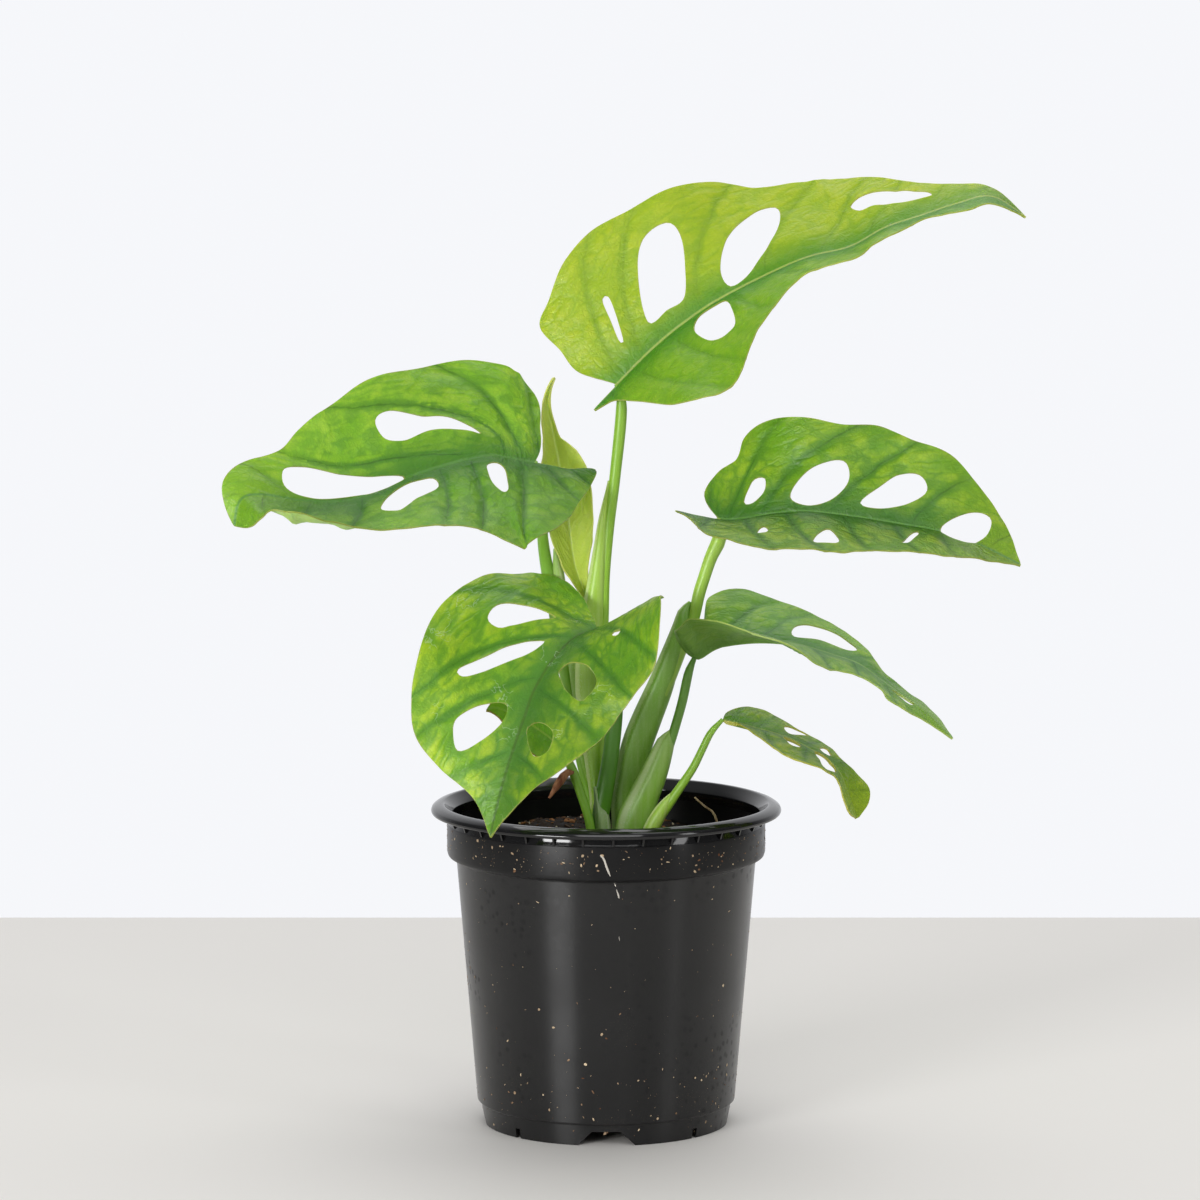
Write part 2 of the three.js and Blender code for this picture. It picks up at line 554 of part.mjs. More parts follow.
// The midrib as a smooth curve, with u measured along it from the stalk.
class Midrib {
  constructor(points) {
    const corners = points.map((p) => new THREE.Vector3(...p));
    this.curve = new THREE.CatmullRomCurve3(corners, false, 'catmullrom', 0.5);
    this.curve.arcLengthDivisions = 400;
    this.total = this.curve.getLength();
    const divisions = 40;
    this.behind = this.curve.getLengths((points.length - 1) * divisions)[divisions];
    this.length = this.total - this.behind;
  }

  at(u) {
    const s = THREE.MathUtils.clamp(u + this.behind, 0, this.total);
    return this.curve.getPointAt(s / this.total);
  }

  direction(u) {
    const start = Math.max(u - DIRECTION_REACH, -this.behind);
    const end = Math.min(u + DIRECTION_REACH, this.length);
    return this.at(end).sub(this.at(start)).normalize();
  }
}

// The point of the bent blade at flat place (u, v), and the direction its upper side looks there.
function surface(leaf, rib, u, v) {
  const t = u / rib.length;
  const forward = rib.direction(u);
  const left = new THREE.Vector3(...leaf.faces).cross(forward).normalize();
  const normal = forward.clone().cross(left);
  const side = Math.sign(v);
  const across = Math.abs(v);
  const rise = THREE.MathUtils.degToRad(along(v > 0 ? leaf.leftRise : leaf.rightRise, t));
  const overHalf = THREE.MathUtils.degToRad(along(v > 0 ? leaf.leftCurl : leaf.rightCurl, t));
  const curl = overHalf / leaf.halfWidth || LEAST_BEND;
  const turn = rise + curl * across;
  const out = (Math.sin(turn) - Math.sin(rise)) / curl;
  const up = (Math.cos(rise) - Math.cos(turn)) / curl;
  const point = rib.at(u).addScaledVector(left, side * out).addScaledVector(normal, up);
  const beyond = Math.min(u + rib.behind, 0);
  point.addScaledVector(forward, beyond);
  const looks = side === 0 ? normal.clone()
    : normal.clone().multiplyScalar(Math.cos(turn)).addScaledVector(left, -side * Math.sin(turn));
  const [height, count, start] = leaf.wave;
  const wave = Math.sin((2 * Math.PI * count * u) / rib.length + start);
  point.addScaledVector(looks, height * (across / leaf.halfWidth) ** 2 * wave);
  return { point, looks };
}

// Evenly spaced points on a smooth flat curve through the given ones.
function flatCurve(points, closed, step) {
  const corners = points.map(([u, v]) => new THREE.Vector3(u, v, 0));
  const curve = new THREE.CatmullRomCurve3(corners, closed, 'catmullrom', 0.5);
  const count = Math.max(closed ? 6 : 2, Math.round(curve.getLength() / step));
  const spaced = curve.getSpacedPoints(count).map((p) => new THREE.Vector2(p.x, p.y));
  return closed ? spaced.slice(0, -1) : spaced;
}

function distanceToLoop(point, loop) {
  let least = Infinity;
  const edge = new THREE.Vector2();
  for (let i = 0; i < loop.length; i += 1) {
    const start = loop[i];
    edge.subVectors(loop[(i + 1) % loop.length], start);
    const part = THREE.MathUtils.clamp(point.clone().sub(start).dot(edge) / edge.lengthSq(), 0, 1);
    least = Math.min(least, point.distanceTo(start.clone().addScaledVector(edge, part)));
  }
  return least;
}

function inside(point, loop) {
  let odd = false;
  for (let i = 0, j = loop.length - 1; i < loop.length; j = i, i += 1) {
    const [a, b] = [loop[i], loop[j]];
    if ((a.y > point.y) === (b.y > point.y)) continue;
    if (point.x < ((b.x - a.x) * (point.y - a.y)) / (b.y - a.y) + a.x) odd = !odd;
  }
  return odd;
}

// How far c lies to the left of the line from a to b, times the length of that line.
function leftOf(a, b, c) {
  return (b.x - a.x) * (c.y - a.y) - (b.y - a.y) * (c.x - a.x);
}

function edgeName(a, b) {
  return a < b ? `${a},${b}` : `${b},${a}`;
}

// Swaps the diagonals of neighbouring triangles until none of them is needlessly thin.
function evenOut(points, triangles, fixed) {
  for (let round = 0; round < MOST_ROUNDS; round += 1) {
    const owners = new Map();
    triangles.forEach((triangle, index) => {
      for (let k = 0; k < 3; k += 1) {
        const name = edgeName(triangle[k], triangle[(k + 1) % 3]);
        if (!owners.has(name)) owners.set(name, []);
        owners.get(name).push([index, k]);
      }
    });
    const touched = new Set();
    for (const [name, pair] of owners) {
      if (pair.length !== 2 || fixed.has(name)) continue;
      const [[one, i], [two, j]] = pair;
      if (touched.has(one) || touched.has(two)) continue;
      const a = triangles[one][i];
      const b = triangles[one][(i + 1) % 3];
      const c = triangles[one][(i + 2) % 3];
      const d = triangles[two][(j + 2) % 3];
      const [A, B, C, D] = [points[a], points[b], points[c], points[d]];
      if (leftOf(A, D, C) < LEAST_AREA || leftOf(D, B, C) < LEAST_AREA) continue;
      const angleC = A.clone().sub(C).angleTo(B.clone().sub(C));
      const angleD = A.clone().sub(D).angleTo(B.clone().sub(D));
      if (angleC + angleD <= Math.PI + LEAST_BEND) continue;
      triangles[one] = [a, d, c];
      triangles[two] = [d, b, c];
      touched.add(one);
      touched.add(two);
    }
    if (!touched.size) break;
  }
}

// Cuts a flat outline with holes into triangles, with the inner points as corners too.
function cutFlat(outline, holes, inner, fixed) {
  const points = [...outline, ...holes.flat()];
  const triangles = THREE.ShapeUtils.triangulateShape(outline, holes);
  for (const point of inner) {
    const owner = triangles.findIndex(([a, b, c]) => leftOf(points[a], points[b], point) > 0
      && leftOf(points[b], points[c], point) > 0 && leftOf(points[c], points[a], point) > 0);
    if (owner < 0) continue;
    const [a, b, c] = triangles[owner];
    const place = points.push(point) - 1;
    triangles.splice(owner, 1, [a, b, place], [b, c, place], [c, a, place]);
  }
  evenOut(points, triangles, fixed);
  return { points, triangles };
}

// Staggered rows of points inside the outline, clear of its edge and of the holes.
function innerPoints(outline, holes, length) {
  const rowStep = INNER_STEP * Math.sin(Math.PI / 3);
  const loops = [outline, ...holes];
  const inner = [];
  for (let row = -INNER_ROWS; row <= INNER_ROWS; row += 1) {
    const start = -3 * INNER_STEP + (row % 2 ? INNER_STEP / 2 : 0);
    for (let u = start; u < length; u += INNER_STEP) {
      // The small offset keeps the points of a row from lying in one line.
      const point = new THREE.Vector2(u, row * rowStep + 0.02 * Math.sin(u));
      const clear = Math.min(...loops.map((loop) => distanceToLoop(point, loop)));
      const inHole = holes.some((hole) => inside(point, hole));
      if (clear > INNER_STEP * 0.4 && inside(point, outline) && !inHole) inner.push(point);
    }
  }
  return inner;
}

// A thin waved blade: the flat outline and holes are cut into triangles once, and the same
// triangles make the upper and the lower face.
function bladeGeometry(leaf, rib) {
  const leftEdge = flatCurve(leaf.left, false, OUTLINE_STEP);
  const rightEdge = flatCurve(leaf.right, false, OUTLINE_STEP);
  let outline = [...leftEdge.slice(0, -1), ...rightEdge.slice(1).reverse()];
  if (THREE.ShapeUtils.isClockWise(outline)) outline = outline.reverse();
  const holes = leaf.holes.map((hole) => {
    const loop = flatCurve(hole, true, HOLE_STEP);
    return THREE.ShapeUtils.isClockWise(loop) ? loop : loop.reverse();
  });
  const loops = [outline, ...holes];
  const inner = innerPoints(outline, holes, rib.length);
  const fixed = new Set();
  const walls = [];
  let first = 0;
  for (const loop of loops) {
    for (let i = 0; i < loop.length; i += 1) {
      const [a, b] = [first + i, first + ((i + 1) % loop.length)];
      fixed.add(edgeName(a, b));
      walls.push([a, b]);
    }
    first += loop.length;
  }
  const { points, triangles } = cutFlat(outline, holes, inner, fixed);
  const upper = [];
  const lower = [];
  for (const { x, y } of points) {
    const { point, looks } = surface(leaf, rib, x, y);
    upper.push(point.clone().addScaledVector(looks, BLADE_THICKNESS / 2));
    lower.push(point.clone().addScaledVector(looks, -BLADE_THICKNESS / 2));
  }
  const count = points.length;
  const index = [];
  for (const [a, b, c] of triangles) index.push(a, b, c, count + a, count + c, count + b);
  for (const [a, b] of walls) index.push(b, a, count + a, b, count + a, count + b);
  const geometry = new THREE.BufferGeometry().setFromPoints([...upper, ...lower]);
  geometry.setIndex(index);
  return geometry;
}

// A round or flattened limb along a path: an upright cylinder, bent and swollen to shape.
function limb(path, half, flat, extra = 0) {
  const corners = path.map((p) => new THREE.Vector3(...p));
  corners[0].z -= extra;
  const curve = new THREE.CatmullRomCurve3(corners, false, 'catmullrom', 0.5);
  const steps = Math.max(4, Math.round(curve.getLength() / STALK_STEP));
  const geometry = new THREE.CylinderGeometry(1, 1, 1, STALK_SIDES, steps);
  const position = geometry.attributes.position;
  for (let i = 0; i < position.count; i += 1) {
    const t = THREE.MathUtils.clamp(position.getY(i) + 0.5, 0, 1);
    const direction = curve.getTangent(t);
    const across = new THREE.Vector3(0, 1, 0).cross(direction).normalize();
    const depth = direction.clone().cross(across);
    const wide = along(half, t) + extra;
    const deep = flat ? Math.min(wide, SHEATH_DEPTH + extra) : wide;
    const point = curve.getPoint(t)
      .addScaledVector(across, position.getX(i) * wide)
      .addScaledVector(depth, -position.getZ(i) * deep);
    position.setXYZ(i, point.x, point.y, point.z);
  }
  return solid(geometry);
}

function stalkSolid(stalk, extra) {
  const leaf = LEAVES[stalk.leaf];
  const rib = new Midrib(leaf.midrib);
  const looks = surface(leaf, rib, 0, 1).looks.add(surface(leaf, rib, 0, -1).looks).normalize();
  const top = rib.at(0).addScaledVector(looks, -STALK_BELOW_BLADE);
  let shape = limb([...stalk.path, top.toArray()], stalk.half, false, extra);
  if (stalk.sheath) shape = shape.add(limb(stalk.sheath, stalk.sheathHalf, true, extra));
  return shape;
}

const plant = new THREE.Group();

function addPart(name, geometry, look) {
  const mesh = new THREE.Mesh(geometry, look);
  mesh.name = name;
  geometry.computeVertexNormals();
  plant.add(mesh);
}

addPart('pot', geometryOf(potSolid()), material(0x1a1b1c, 0.35));

let soil = soilSolid();
for (const [name, stalk] of Object.entries(STALKS)) {
  soil = soil.subtract(stalkSolid(stalk, GAP));
  addPart(name, geometryOf(stalkSolid(stalk, 0)), material(STALK_GREEN, 0.45));
}
soil = soil.subtract(limb(AERIAL_ROOT, AERIAL_ROOT_HALF, false, GAP));
addPart('soil', geometryOf(soil), material(0x2b1f17, 0.95));
addPart('aerial_root', geometryOf(limb(AERIAL_ROOT, AERIAL_ROOT_HALF, false)), material(0xb89b78, 0.8));
addPart('dry_tip', geometryOf(limb(DRY_TIP, DRY_TIP_HALF, false)), material(0x9a6244, 0.8));

for (const [name, leaf] of Object.entries(LEAVES)) {
  const colour = LEAF_COLOURS[name] ?? LEAF_GREEN;
  addPart(name, bladeGeometry(leaf, new Midrib(leaf.midrib)), material(colour, 0.4));
}

export default plant;
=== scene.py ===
# A potted swiss cheese vine: eight leaves, six of them holed, on sheathed stalks in a black
# nursery pot. The plant's tables are in millimetres, as the part itself is, and every mesh is
# scaled to metres when it is finished. Leaves are drawn flat, cut into small faces and then bent.
import math
import random
import bmesh
import bpy
from mathutils import Matrix, Vector, kdtree, noise


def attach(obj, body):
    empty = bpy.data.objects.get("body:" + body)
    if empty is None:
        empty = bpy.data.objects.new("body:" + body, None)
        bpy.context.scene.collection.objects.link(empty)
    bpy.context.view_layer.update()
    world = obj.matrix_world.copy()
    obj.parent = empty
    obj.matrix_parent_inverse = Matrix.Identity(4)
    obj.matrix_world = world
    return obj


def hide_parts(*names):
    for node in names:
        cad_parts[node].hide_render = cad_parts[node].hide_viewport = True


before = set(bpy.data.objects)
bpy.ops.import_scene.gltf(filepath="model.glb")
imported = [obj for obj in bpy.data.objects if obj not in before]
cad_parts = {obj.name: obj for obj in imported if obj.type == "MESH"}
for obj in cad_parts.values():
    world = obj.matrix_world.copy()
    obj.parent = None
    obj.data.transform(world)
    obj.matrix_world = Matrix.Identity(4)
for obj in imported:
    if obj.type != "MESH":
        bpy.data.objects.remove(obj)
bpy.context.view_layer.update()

MM = 0.001
BODY = "root"

# Pot
LIP_R = 60
LIP_Z = 110.7
LIP_UNDER_Z = 107.3
OPENING_R = 55.2
COLLAR_R = 54.5
COLLAR_TOP_Z = 104.5
SHOULDER_Z = 92
BODY_TOP_R = 51.3
BODY_FOOT_R = 44.3
FOOT_STEP_Z = 7.6
FOOT_R = 42.1
WALL = 1.1
FLOOR_Z = 5.4
PAD_R = 10
POT_STEPS = 180
CORNER_ROUNDING = 0.22
GUSSETS = 34
GUSSET_THICKNESS = 0.7
GUSSET_START = 0.23
GUSSET_REACH_R = 55.8
NOTCH_FOOT_WIDTH = 21.6
NOTCH_TOP_WIDTH = 9.6
NOTCH_HEIGHT = 5
SLIT_WIDTH = 2
SLIT_HEIGHT = 3.4
DRAIN_R = 3.4
DRAIN_FROM_AXIS = 29

# Soil, with the heaps on it: place of the middle, height and reach
SOIL_TOP_Z = 95
SOIL_R = COLLAR_R - WALL - 0.45
SOIL_HEAPS = [((2, -4), 2.4, 18), ((-22, 30), 4, 12), ((-10, 42), 3, 9), ((18, 40), 2, 8)]
SOIL_STEPS = 150
SOIL_RINGS = 60
BARK_CHIPS = 620
GRIT_GRAINS = 120
STALK_CLEARANCE = 2.5

# Leaves: steps along the outlines, width of a blade's faces, the reach over which a midrib's
# direction is taken, then the relief: ripples, midrib, side veins and the swelling between them
BLADE_THICKNESS = 0.5
OUTLINE_STEP = 1.3
CELL = 1.5
DIRECTION_REACH = 9
LOW_RIPPLE = 1.1
FINE_RIPPLE = 0.4
MIDRIB_GROOVE = 0.35
MIDRIB_GROOVE_WIDTH = 0.8
MIDRIB_HEIGHT = 1.1
MIDRIB_WIDTH = 1.3
SIDE_VEIN_HEIGHT = 0.22
SIDE_VEIN_WIDTH = 0.7
SWELL_WIDTH = 2.4

# Stalks. A sheath's margin and the fold beside it are measured in radians round the stalk
STALK_SIDES = 28
STALK_STEP = 2.2
SHEATH_DEPTH = 2.9
SHEATH_FOLD = 0.12
MARGIN_WIDTH = 0.5
FOLD_AHEAD = 0.25
FOLD_WIDTH = 0.2

# Each leaf, flat: u runs along the midrib from the stalk to the tip, v across it (+v is the side
# to the left of someone looking from the stalk to the tip). midrib holds points in space, the
# first one behind the stalk, the second one at it. The rises say how steeply each half rises
# from the midrib, in degrees, at five places from the stalk to the tip, and the curls how much
# more it turns over the half width. faces is where the upper side looks when the rises are
# nought. wave is the height, number and start of the edge waves.
UPWARD = (0, 0, 1)
TOWARD_FRONT = (0, -1, 0)
NO_CURL = [0] * 5
SLIGHT_CURL = [5] * 5
LEAVES = {
    "top_leaf": {
        "midrib": [
            (-3, 1, 247.5), (3.5, 2, 254), (15, 3, 265.5), (26.5, 4, 275), (40.5, 5, 284), (65.5, 5, 296),
            (82.5, 5, 300.5), (94.5, 5, 307), (106.5, 5, 311), (118.5, 5, 315), (130.5, 5, 317.5),
            (142.5, 5, 310.5),
        ],
        "faces": UPWARD,
        "left_rise": [62, 64, 42, 34, 22],
        "right_rise": [-30, -32, -13, -12, -17],
        "left_curl": SLIGHT_CURL,
        "right_curl": SLIGHT_CURL,
        "half_width": 45,
        "wave": (1.2, 4, 0),
        "left": [
            (0, 0), (-6, 13), (-5, 23), (-4, 34), (5, 38.5), (15, 43.5), (26, 46), (38, 44), (50, 44),
            (62, 42), (72, 36.5), (84, 34.5), (97, 34.5), (109, 27), (120, 19), (132, 12.5), (145, 6.5),
            (158.4, 0),
        ],
        "right": [
            (0, 0), (-12, -1.2), (-5, -5), (-1, -12), (7, -29), (14, -37.5), (24, -41.5), (36, -40.5),
            (48, -35), (60, -27), (74, -20), (92, -21), (100, -16), (112, -9.5), (122, -5),
            (133, -10), (145, -7.5), (158.4, 0),
        ],
        "holes": [
            [(18, 24), (16, 17.5), (12, 9), (11, 10), (13.5, 17), (16, 24.5)],
            [(22, 8), (29, 7), (36, 7), (41.5, 16), (45, 26), (44, 33), (36, 32.5), (29, 23.5)],
            [(51, 2), (59, 3.5), (68, 11), (74, 19), (74.5, 26), (67, 25.5), (57, 19), (50.5, 9)],
            [(47.5, -4), (46.5, -16), (43, -19.5), (35, -17), (32, -8), (36, -2.5), (43, -2)],
            [(102, 13), (108, 12), (116, 9), (126, 9), (118, 15), (107, 18.5), (100, 17.5)],
        ],
    },
    "left_leaf": {
        "midrib": [
            (-5, 2, 226), (-24, -12, 229), (-33, -16, 231), (-40, -19, 232), (-51.5, -25, 230),
            (-66, -32.5, 226), (-80.5, -39.5, 220.5), (-89, -44, 219), (-101.5, -50, 220),
            (-114, -56.5, 222.5), (-120.5, -60, 221), (-122.5, -61, 212.5),
        ],
        "faces": UPWARD,
        "left_rise": [-42, -40, -30, -50, -30],
        "right_rise": [50, 58, 65, 56, 46],
        "left_curl": [5, 5, 20, 115, 90],
        "right_curl": SLIGHT_CURL,
        "half_width": 38,
        "wave": (1.2, 3, 1.5),
        "left": [
            (0, 0), (-12, 2), (-24.5, 1.5), (-18.5, 10), (-9, 19), (-2, 28), (6, 37), (15, 42), (26, 42),
            (36, 36), (48, 31), (60, 26), (72, 22), (86, 24.5), (98, 25.5), (109, 19), (118, 8), (119.7, 0),
        ],
        "right": [
            (0, 0), (-4, -6), (-7, -15), (-10, -25), (-5, -33), (4, -36), (16, -37), (30, -35.5),
            (46, -36), (60, -33), (76, -31), (86, -26), (94, -18), (105, -12.5), (113, -6), (119.7, 0),
        ],
        "holes": [
            [
                (50, -22), (44, -23.5), (35, -18.5), (26, -16), (18, -8), (24, -10.5), (34, -13), (44, -12),
                (50, -15),
            ],
            [(93, -11), (84, -12), (71, -9), (60, -5), (49, -0.5), (57, 1), (70, -1), (84, -1), (93, -4)],
            [(41, 4.5), (42, 9.5), (52, 12), (60, 14.5), (64, 10), (58, 5), (49, 3)],
            [(20, 5), (15, 4), (13, 8), (14.5, 16), (18.5, 17.5), (21, 12)],
        ],
    },
    "front_leaf": {
        "midrib": [
            (7.5, -8, 179), (-3, -18, 173), (-10.5, -25, 171), (-18, -34, 164.5), (-24, -42, 155.5),
            (-27, -48, 148), (-31.5, -56, 135.5), (-35, -61, 124), (-38.5, -64, 109),
        ],
        "faces": UPWARD,
        "left_rise": [20, -8, -14, -12, -8],
        "right_rise": [25, 30, 30, 26, 20],
        "left_curl": SLIGHT_CURL,
        "right_curl": SLIGHT_CURL,
        "half_width": 38,
        "wave": (0.8, 3, 0.5),
        "left": [
            (0, 0), (-3.5, 7), (-10.5, 12), (-12.5, 18.5), (-10, 27.5), (-3, 36), (7, 42.5),
            (17, 41), (28, 37), (40, 32), (52, 27.5), (62, 21), (71, 14), (80, 7.5), (91.5, 0),
        ],
        "right": [
            (0, 0), (-4, -6), (-9, -16), (-10, -26), (-5, -34), (4, -37.5), (14, -41), (27, -42.5),
            (40, -40.5), (53, -38), (65, -33), (73, -22), (80, -9), (91.5, 0),
        ],
        "holes": [
            [(22, -27), (16, -27.5), (11, -19), (8.5, -11), (13, -13.5), (20, -19), (23, -22)],
            [(41, -26), (33, -19.5), (25, -14), (18.5, -7), (24, -7), (32, -12), (40, -19.5), (43, -24)],
            [(56, -21), (49, -14.5), (46.5, -7), (53, -6.5), (61, -11), (66.5, -17), (62, -20.5)],
            [(28, 5), (23.5, 8), (23.5, 14.5), (29.5, 20.5), (38, 18), (36, 12), (32, 8)],
            [(52, 2.5), (49.5, 6), (52.5, 11.5), (59.5, 12), (62, 8), (57, 4)],
            [(9.2, 18.5), (8.8, 20.8), (10, 22), (11.2, 21), (11, 18.5)],
        ],
    },
    "right_leaf": {
        "midrib": [
            (24.5, -2, 211.5), (38, -5, 209), (45.5, -6, 209), (55.5, -8, 211), (67.5, -10, 212),
            (83.5, -12.5, 210.5), (100, -15, 208), (112, -17, 206), (124.5, -19, 202), (139.5, -22, 195),
        ],
        "faces": UPWARD,
        "left_rise": [50, 64, 65, 60, 40],
        "right_rise": [-14, -19, -18, -17, -14],
        "left_curl": SLIGHT_CURL,
        "right_curl": SLIGHT_CURL,
        "half_width": 36,
        "wave": (1.0, 3, 2),
        "left": [
            (0, 0), (-6, 6), (-7, 11), (-3, 19), (5, 24), (9, 31), (18, 34), (29, 33), (38, 31.5),
            (49, 33), (61, 30), (73, 27.5), (82, 21), (90, 15.5), (98, 9), (106, 0),
        ],
        "right": [
            (0, 0), (-8, -1.5), (-15, -1), (-8, -6), (-1, -17), (6, -21.5), (13, -27), (22, -32),
            (32, -34), (43, -32.5), (55, -27), (67, -24), (80, -19), (93, -11), (106, 0),
        ],
        "holes": [
            [(9, 6), (12.5, 13), (17, 13), (16.5, 8), (12, 5)],
            [(25, 5), (29, 13), (35, 17.5), (41, 18.5), (43, 12), (38.5, 5), (31, 2)],
            [(48, 5), (53, 11), (59, 17), (66, 18), (69, 12.5), (63, 7), (54, 4)],
            [(76.5, 2), (84, 10), (90, 11), (91, 4), (86, -2.5), (79, -2)],
            [(36, -24), (38, -16), (41, -15), (45, -24), (41, -26.5)],
            [(15, -15.5), (17, -11), (19, -16)],
            [(65.5, -16.5), (66.2, -11), (68.2, -5.5), (69.8, -5), (69.2, -10.5), (67.5, -15)],
        ],
    },
    "low_leaf": {
        "midrib": [
            (25, -8, 164.5), (30, -10, 162), (37.5, -11, 166.5), (48.5, -13, 168.5), (59, -15, 168.5),
            (66.5, -16, 167), (76.5, -17, 164), (85.5, -19, 161), (94, -21, 155), (101, -22, 150),
            (107.5, -23, 146), (117, -25, 136.5),
        ],
        "faces": UPWARD,
        "left_rise": [40, 24, 12, 2, -3],
        "right_rise": [35, 14, -4, -8, -22],
        "left_curl": NO_CURL,
        "right_curl": NO_CURL,
        "half_width": 32,
        "wave": (0.8, 3, 0),
        "left": [
            (0, 0), (0, 9), (4, 17), (10, 25), (17, 29), (27, 26.5), (38, 25), (48, 23), (56, 17),
            (64, 10), (73, 9), (82, 8), (91, 7), (99.8, 0),
        ],
        "right": [
            (0, 0), (-5, -5), (-5, -14), (2, -22.5), (12, -25), (23, -27), (35, -28), (45, -24),
            (55, -16), (64, -11), (70, -10), (74, -15), (80, -11), (90, -5), (99.8, 0),
        ],
        "holes": [
            [(35, 4), (34, 10), (39, 16), (47, 17), (55, 11.5), (53, 7), (43, 7)],
            [(73, -3), (77, 0), (82, -1.5), (80, -4.5)],
        ],
    },
    "small_leaf": {
        "midrib": [
            (34.5, -13, 141.5), (39.5, -15, 141.5), (47, -17, 140), (60.5, -20, 136.5), (69, -22, 132.5),
            (75.5, -24, 128.5), (79, -25, 124.5), (81.5, -26, 117.5), (84.5, -27, 109.5),
        ],
        "faces": UPWARD,
        "left_rise": [20, 12, 6, 10, 30],
        "right_rise": [0, -3, -8, 0, 10],
        "left_curl": NO_CURL,
        "right_curl": NO_CURL,
        "half_width": 19,
        "wave": (0.4, 2, 0),
        "left": [
            (0, 0), (0, 5), (4, 11), (10, 14), (18, 12), (27, 11.5), (34, 11), (41, 7), (47, 9.5),
            (53, 11.5), (58, 7.5), (61.8, 0),
        ],
        "right": [
            (0, 0), (5, -1), (11, -6.5), (18, -13), (26, -16), (34, -15), (41, -12), (47, -6),
            (54, -7), (59, -7), (61.8, 0),
        ],
        "holes": [
            [(20, 6.5), (22, 10), (27.5, 11), (26.5, 7), (23, 3.5)],
            [(22, -2), (26.5, -1), (29, -4), (25.5, -6)],
            [(34, 4), (35.5, 7), (38.5, 4.5), (37, 3)],
            [(33.5, 0), (39, 0.5), (44, -3.5), (41, -9.5), (36.5, -5)],
        ],
    },
    "young_leaf": {
        "midrib": [
            (-5.5, 6, 168), (-6.5, 6, 179.5), (-9, 7, 186.5), (-11, 8, 193), (-12.5, 9, 203.5),
            (-13.5, 10, 213.5), (-16, 11, 225.5), (-18, 12, 236), (-20, 12, 244.5), (-19.5, 12, 251),
            (-17.5, 12, 256),
        ],
        "faces": TOWARD_FRONT,
        "left_rise": [50, 35, 30, 45, 60],
        "right_rise": [50, 30, 20, 30, 60],
        "left_curl": [40, 40, 50, 60, 60],
        "right_curl": [40, 40, 40, 50, 60],
        "half_width": 14,
        "wave": (0.5, 3, 0),
        "left": [
            (0, 0), (2, 2.5), (8, 4.5), (15, 7), (24, 9.5), (35, 11), (46, 11), (56, 9), (64, 5),
            (72, 2.5), (78.5, 0),
        ],
        "right": [
            (0, 0), (2, -1.5), (8, -5), (15, -7.5), (24, -10), (35, -12), (45, -11), (51, -8.5), (55, -4.5),
            (58, -2), (68, -1.5), (78.5, 0),
        ],
        "holes": [],
    },
    "hidden_leaf": {
        "midrib": [
            (-11, -12.5, 127), (-14.5, -14.5, 131), (-18.5, -17, 135), (-24, -20, 139.5),
            (-31, -23, 144), (-37, -26, 147), (-41, -28, 146.5),
        ],
        "faces": UPWARD,
        "left_rise": [-45] * 5,
        "right_rise": [60] * 5,
        "left_curl": NO_CURL,
        "right_curl": NO_CURL,
        "half_width": 12,
        "wave": (0.4, 2, 1),
        "left": [(0, 0), (-2, 4), (3, 9), (11, 12), (20, 11), (28, 6), (34, 0)],
        "right": [(0, 0), (-2, -4), (3, -9), (11, -12), (20, -11), (28, -6), (34, 0)],
        "holes": [],
    },
}

